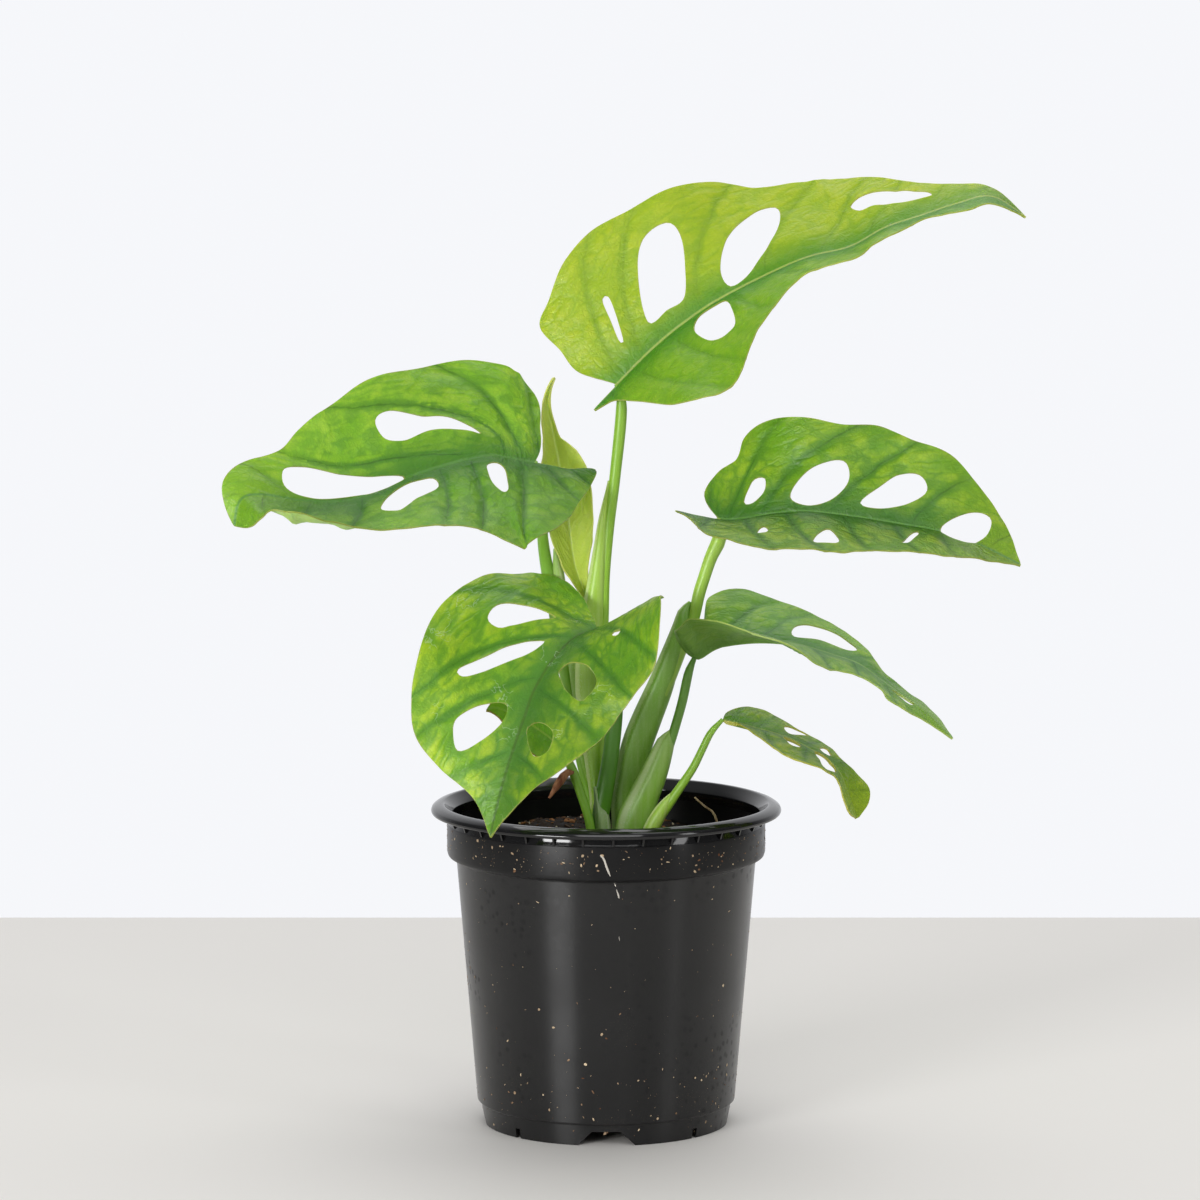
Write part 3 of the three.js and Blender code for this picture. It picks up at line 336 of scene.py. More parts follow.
# Stalks: path holds points up from inside the soil, and the stalk then ends at its leaf. half
# holds the half thickness at each point and at the leaf. A sheath is a wider, flatter sleeve
# that narrows to a free tip beside the stalk.
STALKS = {
    "top_leaf_stalk": {
        "leaf": "top_leaf",
        "path": [
            (-2.5, 0, 85), (-3, 0, 102.5), (-3, 0.5, 125), (-3, 1, 146), (-2, 1.5, 158), (-1, 2, 173.5),
            (-0.5, 2.5, 188.5), (1, 3, 205.5), (3, 3, 222.5), (5.2, 2.5, 246),
        ],
        "half": [2.2, 2.4, 2.4, 2.2, 2.1, 1.9, 1.8, 1.8, 1.9, 1.9, 0.8],
        "sheath": [
            (-3, 0, 99.5), (-3, 0, 111.5), (-3.5, 0.5, 122), (-4.6, 1, 135.5), (-6, 1, 152.5),
            (-5, 1.2, 171.5), (-3.2, 2, 188.5), (-2, 2.5, 199), (-1, 3, 208.5), (1, 3, 221),
        ],
        "sheath_half": [2.4, 2.7, 3.5, 4.4, 4.7, 4.2, 2.9, 2.2, 1.5, 0.5],
    },
    "left_leaf_stalk": {
        "leaf": "left_leaf",
        "path": [
            (-3.5, 7, 85), (-4, 7, 101), (-6, 7, 112), (-9, 7, 125), (-10.5, 7, 136.5), (-13.6, 6.5, 152.2),
            (-17.1, 6.8, 172.7), (-20.1, 6.3, 189.8), (-21.6, 2, 201.3), (-22.1, -5, 215),
            (-22.8, -9.2, 222),
        ],
        "half": [1.5, 1.5, 1.5, 1.6, 1.9, 2.1, 2.2, 2.2, 1.9, 1.7, 1.6, 0.8],
        "sheath": [
            (-6, 7, 112), (-8, 7, 126), (-9.5, 7, 138.5), (-11, 6.8, 152.2), (-12.6, 6.8, 166),
            (-15.2, 6.5, 180), (-16.5, 6, 190), (-17.6, 4, 197.5),
        ],
        "sheath_half": [1.2, 1.9, 2.2, 2.4, 2.4, 2.2, 1.9, 0.5],
    },
    "front_leaf_stalk": {
        "leaf": "front_leaf",
        "path": [
            (-3, -8, 85), (-2.5, -8, 102.5), (-1, -8, 113), (1.5, -7.5, 128), (3, -7.5, 143),
            (3.5, -8.5, 157.5), (1.5, -11, 166),
        ],
        "half": [2.4, 2.7, 3, 2.8, 2.7, 2.5, 2.1, 0.8],
        "sheath": [(-1, -8.5, 99), (-1.5, -9, 106.5), (-2.5, -9, 112), (-4, -9, 117.5)],
        "sheath_half": [2.9, 2.7, 1.7, 0.5],
    },
    "right_leaf_stalk": {
        "leaf": "right_leaf",
        "path": [
            (4, -2, 85), (5.5, -2, 101.5), (7.5, -2.5, 112), (10.5, -3, 124), (14.5, -3.5, 136),
            (18.5, -4, 146.5), (22.5, -4.5, 156.5), (26, -5, 165.5), (29.5, -5, 174), (31.5, -5, 183),
            (33.5, -5, 189.5), (35.5, -5, 195.5), (38.5, -5, 202.5),
        ],
        "half": [2.4, 2.7, 2.7, 2.6, 2.4, 2.4, 2.2, 2.1, 2, 2.1, 2.1, 2.2, 2.4, 0.9],
        "sheath": [
            (5, -2, 94.5), (6, -2, 101.5), (6.5, -2.5, 112), (8, -3, 120.5), (10.5, -3.5, 131),
            (14, -4, 140.5), (18.5, -4, 151.5), (22, -5, 162), (25, -5, 171), (26.5, -5, 177),
            (28.5, -5, 180.5),
        ],
        "sheath_half": [3.4, 4.1, 4.8, 5.1, 5.3, 5.1, 4.5, 3.6, 2.9, 2.1, 0.5],
    },
    "low_leaf_stalk": {
        "leaf": "low_leaf",
        "path": [
            (7.5, -9, 85), (9.5, -9, 104), (12, -9, 111), (15.5, -9, 118), (18.5, -9, 125),
            (21.5, -9.5, 132), (24, -9.5, 140), (26, -10, 147.5), (28, -10.5, 157),
        ],
        "half": [2.4, 2.7, 2.7, 2.4, 2.1, 1.7, 1.6, 1.6, 1.5, 0.8],
        "sheath": [
            (7, -9, 95.5), (9.5, -9, 106), (13, -9, 114.5), (16.5, -9, 122.5), (20.5, -9.5, 133.5),
            (22, -9.5, 137),
        ],
        "sheath_half": [4.5, 5.7, 5.1, 4.5, 3, 0.5],
    },
    "small_leaf_stalk": {
        "leaf": "small_leaf",
        "path": [
            (10, -16, 85), (16.5, -16, 105), (21.5, -16, 113), (25.5, -16, 119), (29.5, -15.5, 125),
            (32.5, -15, 131), (35.5, -15, 137),
        ],
        "half": [2.1, 2.1, 1.7, 1.5, 1.4, 1.3, 1.2, 0.7],
        "sheath": [
            (13, -16, 98.5), (15.5, -16, 104.5), (18.5, -16, 110), (21.5, -16, 114.5), (23.5, -16, 117),
        ],
        "sheath_half": [2.4, 2.7, 2.4, 1.5, 0.5],
    },
    "hidden_leaf_stalk": {
        "leaf": "hidden_leaf",
        "path": [(-4, -14, 85), (-5.5, -13.5, 104.5), (-9, -13, 117), (-12, -13, 125)],
        "half": [1.4, 1.5, 1.6, 1.6, 0.7],
    },
}

# The side veins of each half, counted from the stalk: where each leaves the midrib, how far it
# leans to the tip for each millimetre it goes out, and how much it bends to the tip on its way.
# They run between the holes.
VEINS = {
    "top_leaf": {
        "left": [
            (-4, -0.2, 0), (4, 0.1, 0.008), (14, 0.2, 0.008), (39, 0.25, 0.01), (63, 0.4, 0.01),
            (82, 0.7, 0.01), (100, 0.9, 0), (120, 0.9, 0), (138, 0.9, 0),
        ],
        "right": [
            (-3, -0.1, 0), (8, 0.1, 0.01), (24, 0.15, 0.008), (50, 0.2, 0.01), (68, 0.4, 0.01),
            (88, 0.6, 0), (110, 0.8, 0), (130, 0.8, 0),
        ],
    },
    "left_leaf": {
        "left": [
            (-3, -0.4, 0), (6, 0, 0.006), (25, 0, 0.012), (36, 0.15, 0.012), (66, 0.5, 0.01),
            (84, 0.6, 0.01), (102, 0.6, 0),
        ],
        "right": [
            (-2, -0.15, 0), (5, 0.1, 0.012), (12, -0.5, 0.066), (17, 4, 0.03), (92, 0.8, 0.02),
            (108, 0.8, 0.02),
        ],
    },
    "front_leaf": {
        "left": [
            (-3, -0.2, 0), (5, 0.05, 0.007), (13, 0.35, 0.006), (36, 0.45, 0.005), (62, 0.5, 0.005),
            (76, 0.6, 0),
        ],
        "right": [
            (-4, -0.25, 0), (1, 0.1, 0.008), (11, 0.7, 0.012), (32, 0.8, 0.008), (61, 0.8, 0),
            (76, 0.8, 0),
        ],
    },
    "right_leaf": {
        "left": [
            (-3, -0.2, 0), (3, 0.25, 0.01), (15, 0.5, 0.012), (38, 0.5, 0.012), (66, 0.45, 0.01),
            (93, 0.5, 0),
        ],
        "right": [
            (-2, -0.2, 0), (9, 0.25, 0.006), (23, 0.3, 0.008), (43, 0.3, 0.008), (60, 0.4, 0.008),
            (76, 0.45, 0.008), (90, 0.5, 0),
        ],
    },
    "low_leaf": {
        "left": [
            (0, -0.1, 0.004), (11, 0.3, 0.008), (24, 0.3, 0.01), (54, 0.5, 0.01), (68, 0.5, 0),
            (82, 0.5, 0),
        ],
        "right": [
            (1, -0.2, 0.002), (14, 0.2, 0.008), (28, 0.3, 0.008), (42, 0.4, 0.008), (56, 0.5, 0),
            (70, 0.5, 0), (86, 0.5, 0),
        ],
    },
    "small_leaf": {
        "left": [(3, 0, 0.01), (12, 0.2, 0.01), (29, 0.3, 0), (41, 0.3, 0), (51, 0.3, 0)],
        "right": [(4, 0.2, 0.01), (15, 0.3, 0.01), (30, 0.3, 0), (46, 0.3, 0), (55, 0.3, 0)],
    },
    "young_leaf": {
        "left": [(4, 1.2, 0.02), (18, 1.2, 0.02), (34, 1.2, 0.02), (50, 1.2, 0.02)],
        "right": [(8, 1.2, 0.02), (24, 1.2, 0.02), (40, 1.2, 0.02), (56, 1.2, 0.02)],
    },
    "hidden_leaf": {
        "left": [(2, 0.4, 0), (10, 0.4, 0), (18, 0.5, 0), (26, 0.5, 0)],
        "right": [(2, 0.4, 0), (10, 0.4, 0), (18, 0.5, 0), (26, 0.5, 0)],
    },
}

# How far the blade swells between its veins, the look of the blade, and which half hangs lower
# and is darkened with painted shade: 1 for the left half and -1 for the right, seen along the midrib
BLADES = {
    "top_leaf": (0.7, "bright", -1),
    "left_leaf": (1.3, "mature", 1),
    "front_leaf": (0.6, "mottled", 1),
    "right_leaf": (0.8, "fresh", -1),
    "low_leaf": (0.7, "shaded", -1),
    "small_leaf": (0.4, "small", -1),
    "young_leaf": (0.2, "young", -1),
    "hidden_leaf": (0.3, "hidden", -1),
}

# The thin root that loops out of the soil, and the dry brown tip of the hidden stalk's sheath
AERIAL_ROOT = [
    (38.5, 14, 88), (38.5, 14, 98), (38, 13, 102.5), (36.5, 12, 105.5), (34, 10, 107.5),
    (30.5, 8, 111),
]
AERIAL_ROOT_HALF = [0.5, 0.5, 0.45, 0.4, 0.35, 0.3]
DRY_TIP = [(-11.2, -15.5, 123.4), (-13.5, -16.8, 123.4), (-16.3, -19, 120), (-19.3, -21.2, 115.5)]
DRY_TIP_HALF = [0.6, 1.4, 1.4, 0.4]


def smoothed(values, place):
    """A smooth curve through values, read at place, which counts from 0 in steps of one."""
    last = len(values) - 1
    i = min(int(place), last - 1)
    f = place - i
    a, b = values[max(i - 1, 0)], values[i]
    c, d = values[i + 1], values[min(i + 2, last)]
    bend = a * 2 - b * 5 + c * 4 - d
    return (b * 2 + (c - a) * f + bend * (f * f) + (b * 3 - a - c * 3 + d) * f ** 3) * 0.5


def along(values, t):
    """The same curve, read at t, which runs from 0 to 1 over all the values."""
    return smoothed(values, min(max(t, 0), 1) * (len(values) - 1))


def ease(low, high, value):
    """Nought up to low, one from high on, and a smooth way between."""
    t = min(max((value - low) / (high - low), 0), 1)
    return t * t * (3 - 2 * t)


def ridge(distance, width):
    """One on a line, falling smoothly to nought a few widths away from it."""
    return math.exp(-(distance / width) ** 2)


class Path:
    """A smooth curve through points, read by the length along it."""

    def __init__(self, points, closed=False):
        corners = [Vector(p) for p in points]
        if closed:
            corners = corners[-1:] + corners + corners[:2]
        else:
            before = corners[0] * 2 - corners[1]
            after = corners[-1] * 2 - corners[-2]
            corners = [before] + corners + [after]
        spans = len(corners) - 3
        per_span = 48
        self.places = [smoothed(corners, 1 + i / per_span) for i in range(spans * per_span + 1)]
        self.lengths = [0.0]
        for a, b in zip(self.places, self.places[1:]):
            self.lengths.append(self.lengths[-1] + (b - a).length)
        self.length = self.lengths[-1]
        self.at_corner = [self.lengths[i * per_span] for i in range(spans + 1)]

    def at(self, length):
        """The point at a length along the curve."""
        low, high = 0, len(self.lengths) - 1
        while high - low > 1:
            middle = (low + high) // 2
            if self.lengths[middle] <= length:
                low = middle
            else:
                high = middle
        part = (length - self.lengths[low]) / max(self.lengths[high] - self.lengths[low], 1e-9)
        return self.places[low].lerp(self.places[high], min(max(part, 0), 1))

    def spaced(self, step):
        """Points along the whole curve, about a step apart."""
        count = max(3, round(self.length / step))
        return [self.at(self.length * i / count) for i in range(count + 1)]


class Midrib:
    """A leaf's midrib, with u measured along it from the stalk."""

    def __init__(self, points):
        self.path = Path(points)
        self.behind = self.path.at_corner[1]
        self.length = self.path.length - self.behind

    def at(self, u):
        return self.path.at(min(max(u + self.behind, 0), self.path.length))

    def direction(self, u):
        """The way to the tip at u, taken over a short reach on both sides."""
        start = max(u - DIRECTION_REACH, -self.behind)
        end = min(u + DIRECTION_REACH, self.length)
        return (self.at(end) - self.at(start)).normalized()


def surface(leaf, rib, u, v):
    """The point of the bent blade at flat place (u, v), and where its upper side looks there."""
    t = u / rib.length
    forward = rib.direction(u)
    left = Vector(leaf["faces"]).cross(forward).normalized()
    normal = forward.cross(left)
    side = (v > 0) - (v < 0)
    across = abs(v)
    rise = math.radians(along(leaf["left_rise" if v > 0 else "right_rise"], t))
    over_half = math.radians(along(leaf["left_curl" if v > 0 else "right_curl"], t))
    curl = over_half / leaf["half_width"] or 1e-6
    turn = rise + curl * across
    out = (math.sin(turn) - math.sin(rise)) / curl
    up = (math.cos(rise) - math.cos(turn)) / curl
    point = rib.at(u) + left * (side * out) + normal * up
    point += forward * min(u + rib.behind, 0)
    looks = normal * math.cos(turn) - left * (side * math.sin(turn)) if side else normal
    height, count, start = leaf["wave"]
    wave = math.sin(2 * math.pi * count * u / rib.length + start)
    point += looks * (height * (across / leaf["half_width"]) ** 2 * wave)
    return point, looks


def vein_phase(lines, u, v):
    """Counts the side veins towards the tip, with whole numbers on a vein, and their spacing.

    The spacing is measured square to the veins, which may lean far to the tip.
    """
    across = abs(v)
    places = [root + lean * across + bend * across * across for root, lean, bend in lines]
    last = len(places) - 2
    i = min(max(sum(1 for place in places if place <= u) - 1, 0), last)
    spacing = max(places[i + 1] - places[i], 2)
    part = min(max((u - places[i]) / spacing, 0), 1)
    leans = [lean + 2 * bend * across for _, lean, bend in lines[i:i + 2]]
    slant = leans[0] + (leans[1] - leans[0]) * part
    return i + (u - places[i]) / spacing, spacing / math.hypot(1, slant)


def colour(code):
    """A linear colour from a six-figure code."""
    parts = [int(code[i:i + 2], 16) / 255 for i in (0, 2, 4)]
    return [((c + 0.055) / 1.055) ** 2.4 if c > 0.04045 else c / 12.92 for c in parts] + [1.0]


SOCKETS = {
    "roughness": "Roughness",
    "specular_ior_level": "Specular IOR Level",
    "anisotropic": "Anisotropic",
    "anisotropic_rotation": "Anisotropic Rotation",
}


class Finish:
    """A material being made, with a short call for each kind of node."""

    def __init__(self, name, **shader_values):
        self.material = bpy.data.materials.new(name)
        self.material.use_nodes = True
        self.nodes = self.material.node_tree.nodes
        self.links = self.material.node_tree.links
        self.shader = self.nodes["Principled BSDF"]
        for socket, value in shader_values.items():
            self.shader.inputs[SOCKETS[socket]].default_value = value

    def put(self, socket, value):
        """Joins a node's output to a socket, or sets the socket to a plain value."""
        if isinstance(value, bpy.types.NodeSocket):
            self.links.new(value, socket)
        else:
            socket.default_value = value

    def to_shader(self, socket, value):
        self.put(self.shader.inputs[socket], value)

    def node(self, kind, **settings):
        made = self.nodes.new(kind)
        for name, value in settings.items():
            setattr(made, name, value)
        return made

    def maths(self, operation, *values):
        made = self.node("ShaderNodeMath", operation=operation)
        for socket, value in zip(made.inputs, values):
            self.put(socket, value)
        return made.outputs[0]

    def times(self, *values):
        """The product of two values or more."""
        product = values[0]
        for value in values[1:]:
            product = self.maths("MULTIPLY", product, value)
        return product

    def span(self, value, low, high, to_low=0.0, to_high=1.0):
        """Value carried from one range to another, smoothly and held within it."""
        made = self.node("ShaderNodeMapRange", interpolation_type="SMOOTHSTEP")
        for socket, given in zip(made.inputs, (value, low, high, to_low, to_high)):
            self.put(socket, given)
        return made.outputs[0]

    def mix(self, factor, one, two, way="MIX"):
        made = self.node("ShaderNodeMix", data_type="RGBA", blend_type=way)
        self.put(made.inputs[0], factor)
        self.put(made.inputs[6], one)
        self.put(made.inputs[7], two)
        return made.outputs[2]

    def stretched(self, vector, scale):
        made = self.node("ShaderNodeMapping")
        self.put(made.inputs["Vector"], vector)
        made.inputs["Scale"].default_value = scale
        return made.outputs[0]

    def place(self):
        return self.node("ShaderNodeTexCoord").outputs["Object"]

    def flat_map(self, name):
        return self.node("ShaderNodeUVMap", uv_map=name).outputs[0]

    def split(self, vector):
        made = self.node("ShaderNodeSeparateXYZ")
        self.put(made.inputs[0], vector)
        return made.outputs

    def attribute(self, name):
        return self.node("ShaderNodeAttribute", attribute_name=name).outputs["Fac"]

    def noise(self, vector, scale, detail=3.0, roughness=0.55):
        made = self.node("ShaderNodeTexNoise")
        self.put(made.inputs["Vector"], vector)
        made.inputs["Scale"].default_value = scale
        made.inputs["Detail"].default_value = detail
        made.inputs["Roughness"].default_value = roughness
        return made.outputs[0]

    def cells(self, vector, scale, feature="F1", randomness=1.0):
        made = self.node("ShaderNodeTexVoronoi", feature=feature)
        self.put(made.inputs["Vector"], vector)
        made.inputs["Scale"].default_value = scale
        made.inputs["Randomness"].default_value = randomness
        return made.outputs["Distance"]

    def warped(self, vector, guide, scale, amount):
        """The vector pushed about by a noise over guide."""
        noise_node = self.node("ShaderNodeTexNoise")
        self.put(noise_node.inputs["Vector"], guide)
        noise_node.inputs["Scale"].default_value = scale
        noise_node.inputs["Detail"].default_value = 2
        centred = self.node("ShaderNodeVectorMath", operation="SUBTRACT")
        self.put(centred.inputs[0], noise_node.outputs["Color"])
        centred.inputs[1].default_value = (0.5, 0.5, 0.5)
        pushed = self.node("ShaderNodeVectorMath", operation="MULTIPLY_ADD")
        self.put(pushed.inputs[0], centred.outputs[0])
        pushed.inputs[1].default_value = (amount, amount, 0)
        self.put(pushed.inputs[2], vector)
        return pushed.outputs[0]

    def lit_through(self, weight, radius, scale):
        """Light spread inside, to a radius for red, green and blue times a scale in metres."""
        self.to_shader("Subsurface Weight", weight)
        self.to_shader("Subsurface Radius", radius)
        self.to_shader("Subsurface Scale", scale)

    def bump(self, height, strength, distance):
        """Low relief from a height of nought to one, its distance in metres."""
        made = self.node("ShaderNodeBump")
        self.put(made.inputs["Height"], height)
        made.inputs["Strength"].default_value = strength
        made.inputs["Distance"].default_value = distance
        self.to_shader("Normal", made.outputs[0])


# Leaf looks: the blade near the midrib and further out, the patches between the veins and how
# strong they are, the side veins, the midrib, the rim, the underside, how dark the painted shade in
# the creases is, and a painted shade multiplied over the half that hangs lower
LEAF_LOOKS = {
    "mature": ("4a8022", "78aa20", "aec83a", 0.5, "427824", "5e903c", "8a8a44", "b0cc78", 0.4, "d4e2da"),
    "fresh": ("3c701a", "68961a", "a6ba2c", 0.6, "3c7020", "5e8e3c", "8a8a44", "b0cc78", 0.35, "f4f4ff"),
    "mottled": ("4e8426", "6a9e1e", "b8cc2a", 0.75, "427a20", "4c7222", "a0a458", "98b858", 0.25, "d4dcd8"),
    "shaded": ("4e882c", "78ac30", "aac838", 0.55, "447e2c", "84ac58", "98a458", "6f9442", 0.35, "ffffff"),
    "bright": ("568b1a", "98ae1c", "b8be30", 0.5, "7d9d1e", "b0b85e", "a0a050", "94b048", 0.16, "c5eae7"),
    "small": ("508216", "7ea81a", "bcc82a", 0.7, "4a7a1a", "8eac3e", "a89c44", "8aa63a", 0.35, "ffffff"),
    "young": ("b2c252", "bccc5e", "c4d068", 0.4, "a8bc48", "ccda88", "bec070", "b8c85e", 0.1, "ffffff"),
    "hidden": ("74b022", "8ec228", "aecc38", 0.5, "629a1e", "9cc04a", "985e34", "92ba42", 0.2, "ffffff"),
}

# Looks whose tips hardly grow lighter, and looks that little light passes through
PLAIN_TIPS = ("mottled", "bright")
DIM_LOOKS = ("shaded", "small")

# What a blade's flat millimetres and its count of veins are divided by in its UV maps
FLAT_SCALE = 100
PHASE_SCALE = 10


def leaf_finish(look, upper):
    """A living blade: dark along the veins, yellow patches between them, a fine net over all, with painted
    shade in the creases and over the half that hangs lower.
    """
    near, out, patch, patches, vein, rib, rim, under, crease_shade_strength, low = LEAF_LOOKS[look]
    side = "upper" if upper else "under"
    made = Finish(f"leaf_{look}_{side}", roughness=0.42 if upper else 0.6, specular_ior_level=0.34)
    flat = made.flat_map("flat")
    veins = made.flat_map("veins")
    phase, across = made.split(veins)[:2]
    phase = made.times(phase, PHASE_SCALE)
    across = made.times(across, FLAT_SCALE)
    inland = made.attribute("inland")
    spacing = made.attribute("spacing")
    tip = made.span(made.attribute("tipward"), 0.6, 0.95, 0, 0.25 if look in PLAIN_TIPS else 1)
    cloud = made.noise(flat, 5.5, detail=3)
    fine = made.noise(flat, 45, detail=4)

    # How far the nearest side vein is, on lines that wander a little
    wander = made.maths("SUBTRACT", made.noise(flat, 8, detail=2), 0.5)
    phase = made.maths("ADD", phase, made.times(wander, 0.14))
    to_vein = made.times(made.maths("PINGPONG", phase, 0.5), spacing)
    to_vein = made.maths("MAXIMUM", to_vein, made.span(spacing, 3, 9, 2.6, 0))

    # The net between the side veins, and a finer one within it
    bent = made.warped(made.stretched(veins, (30, 24, 1)), flat, 9, 1.1)
    net = made.cells(bent, 1, "DISTANCE_TO_EDGE", 0.85)
    net = made.maths("ADD", net, made.span(made.noise(flat, 16, detail=2), 0.35, 0.7, -0.02, 0.22))
    net = made.maths("MAXIMUM", net, made.span(spacing, 3, 9, 0.4, 0))
    bent_fine = made.warped(flat, flat, 30, 0.02)
    fine_net = made.cells(bent_fine, 66, "DISTANCE_TO_EDGE", 1.0)

    # The blade and the yellow patches on it, away from midrib, veins and net
    openness = made.maths("MAXIMUM", made.span(across, 1.5, 14), made.times(tip, 0.85))
    green = made.mix(openness, colour(near), colour(out))
    halo = made.times(made.span(to_vein, 0.2, 2.6), made.span(net, 0.0, 0.4, 0.25, 1))
    open_blade = made.times(made.span(across, 1, 9, 0.15, 1), made.span(inland, 8, 26, 1, 0.5))
    between = made.times(halo, open_blade, made.span(cloud, 0.32, 0.56))
    between = made.maths("MAXIMUM", between, made.times(tip, 0.55))
    shade = made.mix(made.times(between, patches), green, colour(patch))

    # Veins and net, less at the tip and at the margin, and painted shade in the creases over the side veins
    dark = made.times(
        made.span(halo, 0.0, 0.6, 0.6, 0), made.span(across, 1, 6), made.span(tip, 0, 1, 1, 0.35),
        made.span(inland, 0, 13, 0.4, 1),
    )
    shade = made.mix(dark, shade, colour(vein))
    shade = made.mix(made.span(fine, 0.3, 0.75, 0, 0.2), shade, colour(near))
    shade = made.mix(made.span(fine_net, 0.0, 0.12, 0.18, 0), shade, colour(vein))
    # Painted shade: the creases over the side veins are multiplied darker towards the near colour
    painted_crease_shade = made.times(
        made.span(to_vein, 0.1, 0.5, crease_shade_strength, 0), made.span(across, 0.8, 2.5),
        made.span(cloud, 0.35, 0.6, 0.3, 1),
    )
    shade = made.mix(painted_crease_shade, shade, colour(near), "MULTIPLY")

    # The midrib, painted shade multiplied over the low half, then the underside or the scars of an old
    # blade, and the rim
    shade = made.mix(made.span(across, 0.25, 0.75, 0.9, 0), shade, colour(rib))
    # Painted shade: the half that hangs lower is multiplied by the look's last colour, as if it lay in
    # shade
    shade = made.mix(made.attribute("lower"), shade, colour(low), "MULTIPLY")
    if not upper:
        shade = made.mix(0.72, shade, colour(under))
    elif look == "mottled":
        trail = made.maths("SUBTRACT", made.noise(flat, 15, detail=3), 0.5)
        trail = made.span(made.maths("ABSOLUTE", trail), 0.003, 0.012, 1, 0)
        scarred = made.span(made.noise(flat, 6.5, detail=0), 0.62, 0.7, 0, 0.35)
        shade = made.mix(made.times(trail, scarred), shade, colour("c4d4b4"))
    shade = made.mix(made.span(made.attribute("rim"), 0.6, 1, 0, 0.7), shade, colour(rim))
    made.to_shader("Base Color", shade)

    made.to_shader("Roughness", made.span(fine, 0.2, 0.8, 0.36, 0.5) if upper else 0.62)
    pillow = made.times(made.span(fine_net, 0, 0.3), 0.3)
    pillow = made.maths("ADD", pillow, made.span(net, 0, 0.4))
    made.bump(made.maths("ADD", pillow, made.times(fine, 0.3)), 0.5, 0.0004)
    made.lit_through(0.15 if look in DIM_LOOKS else 0.55, (0.8, 1.0, 0.12), 0.0016)
    return made.material


def stalk_finish(name, low, high, pale, paleness):
    """A smooth stalk that changes towards its top, with faint streaks and pale fine specks."""
    made = Finish(f"stalk_{name}", roughness=0.38)
    streak = made.noise(made.stretched(made.place(), (700, 700, 40)), 1, detail=3)
    speck = made.noise(made.stretched(made.place(), (1, 1, 0.6)), 2400, detail=2)
    margin = made.attribute("margin")
    shade = made.mix(made.attribute("along"), colour(low), colour(high))
    shade = made.mix(made.span(streak, 0.35, 0.75, 0, paleness * 0.4), shade, colour(pale))
    specked = made.span(margin, 0.02, 0.7, paleness * 0.3, 1)
    specked = made.times(specked, made.span(speck, 0.52, 0.68), 0.7)
    shade = made.mix(specked, shade, colour(pale))
    shade = made.mix(made.span(margin, 0.5, 1, 0, 0.7), shade, colour(pale))
    made.to_shader("Base Color", shade)
    made.to_shader("Roughness", made.span(streak, 0.2, 0.8, 0.34, 0.46))
    made.bump(streak, 0.12, 0.0001)
    made.lit_through(0.2, (0.7, 1.0, 0.15), 0.0015)
    return made.material


# Pot looks: how strongly it mirrors, how far its shine is drawn upright, and its roughness
POT_LOOKS = {
    "body": (0.5, 0.95, 0.3, 0.38),
    "collar": (0.26, 0.8, 0.34, 0.42),
    "lip": (0.48, 0.0, 0.06, 0.12),
}


def pot_finish(look):
    """Thin black moulded plastic, with dried water marks and dust."""
    mirror, upright_shine, smooth, dull = POT_LOOKS[look]
    made = Finish(
        f"pot_{look}_plastic", specular_ior_level=mirror, anisotropic=upright_shine,
        anisotropic_rotation=0.25,
    )
    place = made.place()
    height = made.split(place)[2]
    cloud = made.noise(place, 38, detail=4)
    runs = made.noise(made.stretched(place, (160, 160, 14)), 1, detail=3)
    spots = made.cells(made.warped(place, place, 300, 0.0015), 300)
    spot_field = made.noise(place, 24, detail=1)
    shade = made.mix(made.span(cloud, 0.35, 0.75, 0, 0.5), colour("0d0d0e"), colour("181818"))
    shade = made.mix(made.span(runs, 0.55, 0.8, 0, 0.3), shade, colour("242322"))
    mark = made.times(made.span(spots, 0.15, 0.4, 1, 0), made.span(spot_field, 0.48, 0.58))
    dust = made.cells(place, 1500)
    thick = made.times(made.span(height, 0.0, 0.03, 1, 0.3), made.span(cloud, 0.48, 0.72))
    dusty = made.times(made.span(dust, 0.08, 0.2, 0.5, 0), thick)
    shade = made.mix(dusty, shade, colour("8b7a66"))
    made.to_shader("Base Color", shade)
    rough = made.span(cloud, 0.3, 0.7, smooth, dull)
    made.to_shader("Roughness", made.maths("ADD", rough, made.times(mark, 0.14)))
    made.bump(made.noise(place, 900, detail=2), 0.03 if look == "lip" else 0.06, 0.0001)
    return made.material


def soil_finish():
    """Damp dark potting mix."""
    made = Finish("potting_mix", roughness=0.95, specular_ior_level=0.25)
    place = made.place()
    grain = made.noise(place, 420, detail=6, roughness=0.7)
    clump = made.noise(place, 110, detail=3)
    shade = made.mix(made.span(grain, 0.35, 0.7), colour("0d0906"), colour("2a1c12"))
    shade = made.mix(made.span(clump, 0.5, 0.75, 0, 0.5), shade, colour("38261a"))
    made.to_shader("Base Color", shade)
    made.to_shader("Roughness", made.span(grain, 0.3, 0.7, 0.7, 1))
    made.bump(grain, 0.9, 0.0008)
    return made.material


def crumb_finish(name, dark, light):
    """Loose bits, each of its own shade between dark and light."""
    made = Finish(name, roughness=0.85, specular_ior_level=0.3)
    grain = made.noise(made.stretched(made.place(), (500, 900, 700)), 1, detail=4)
    shade = made.mix(made.attribute("tint"), colour(dark), colour(light))
    shade = made.mix(made.span(grain, 0.3, 0.7, 0.35, 0), shade, colour(dark))
    made.to_shader("Base Color", shade)
    made.bump(grain, 0.6, 0.0003)
    return made.material


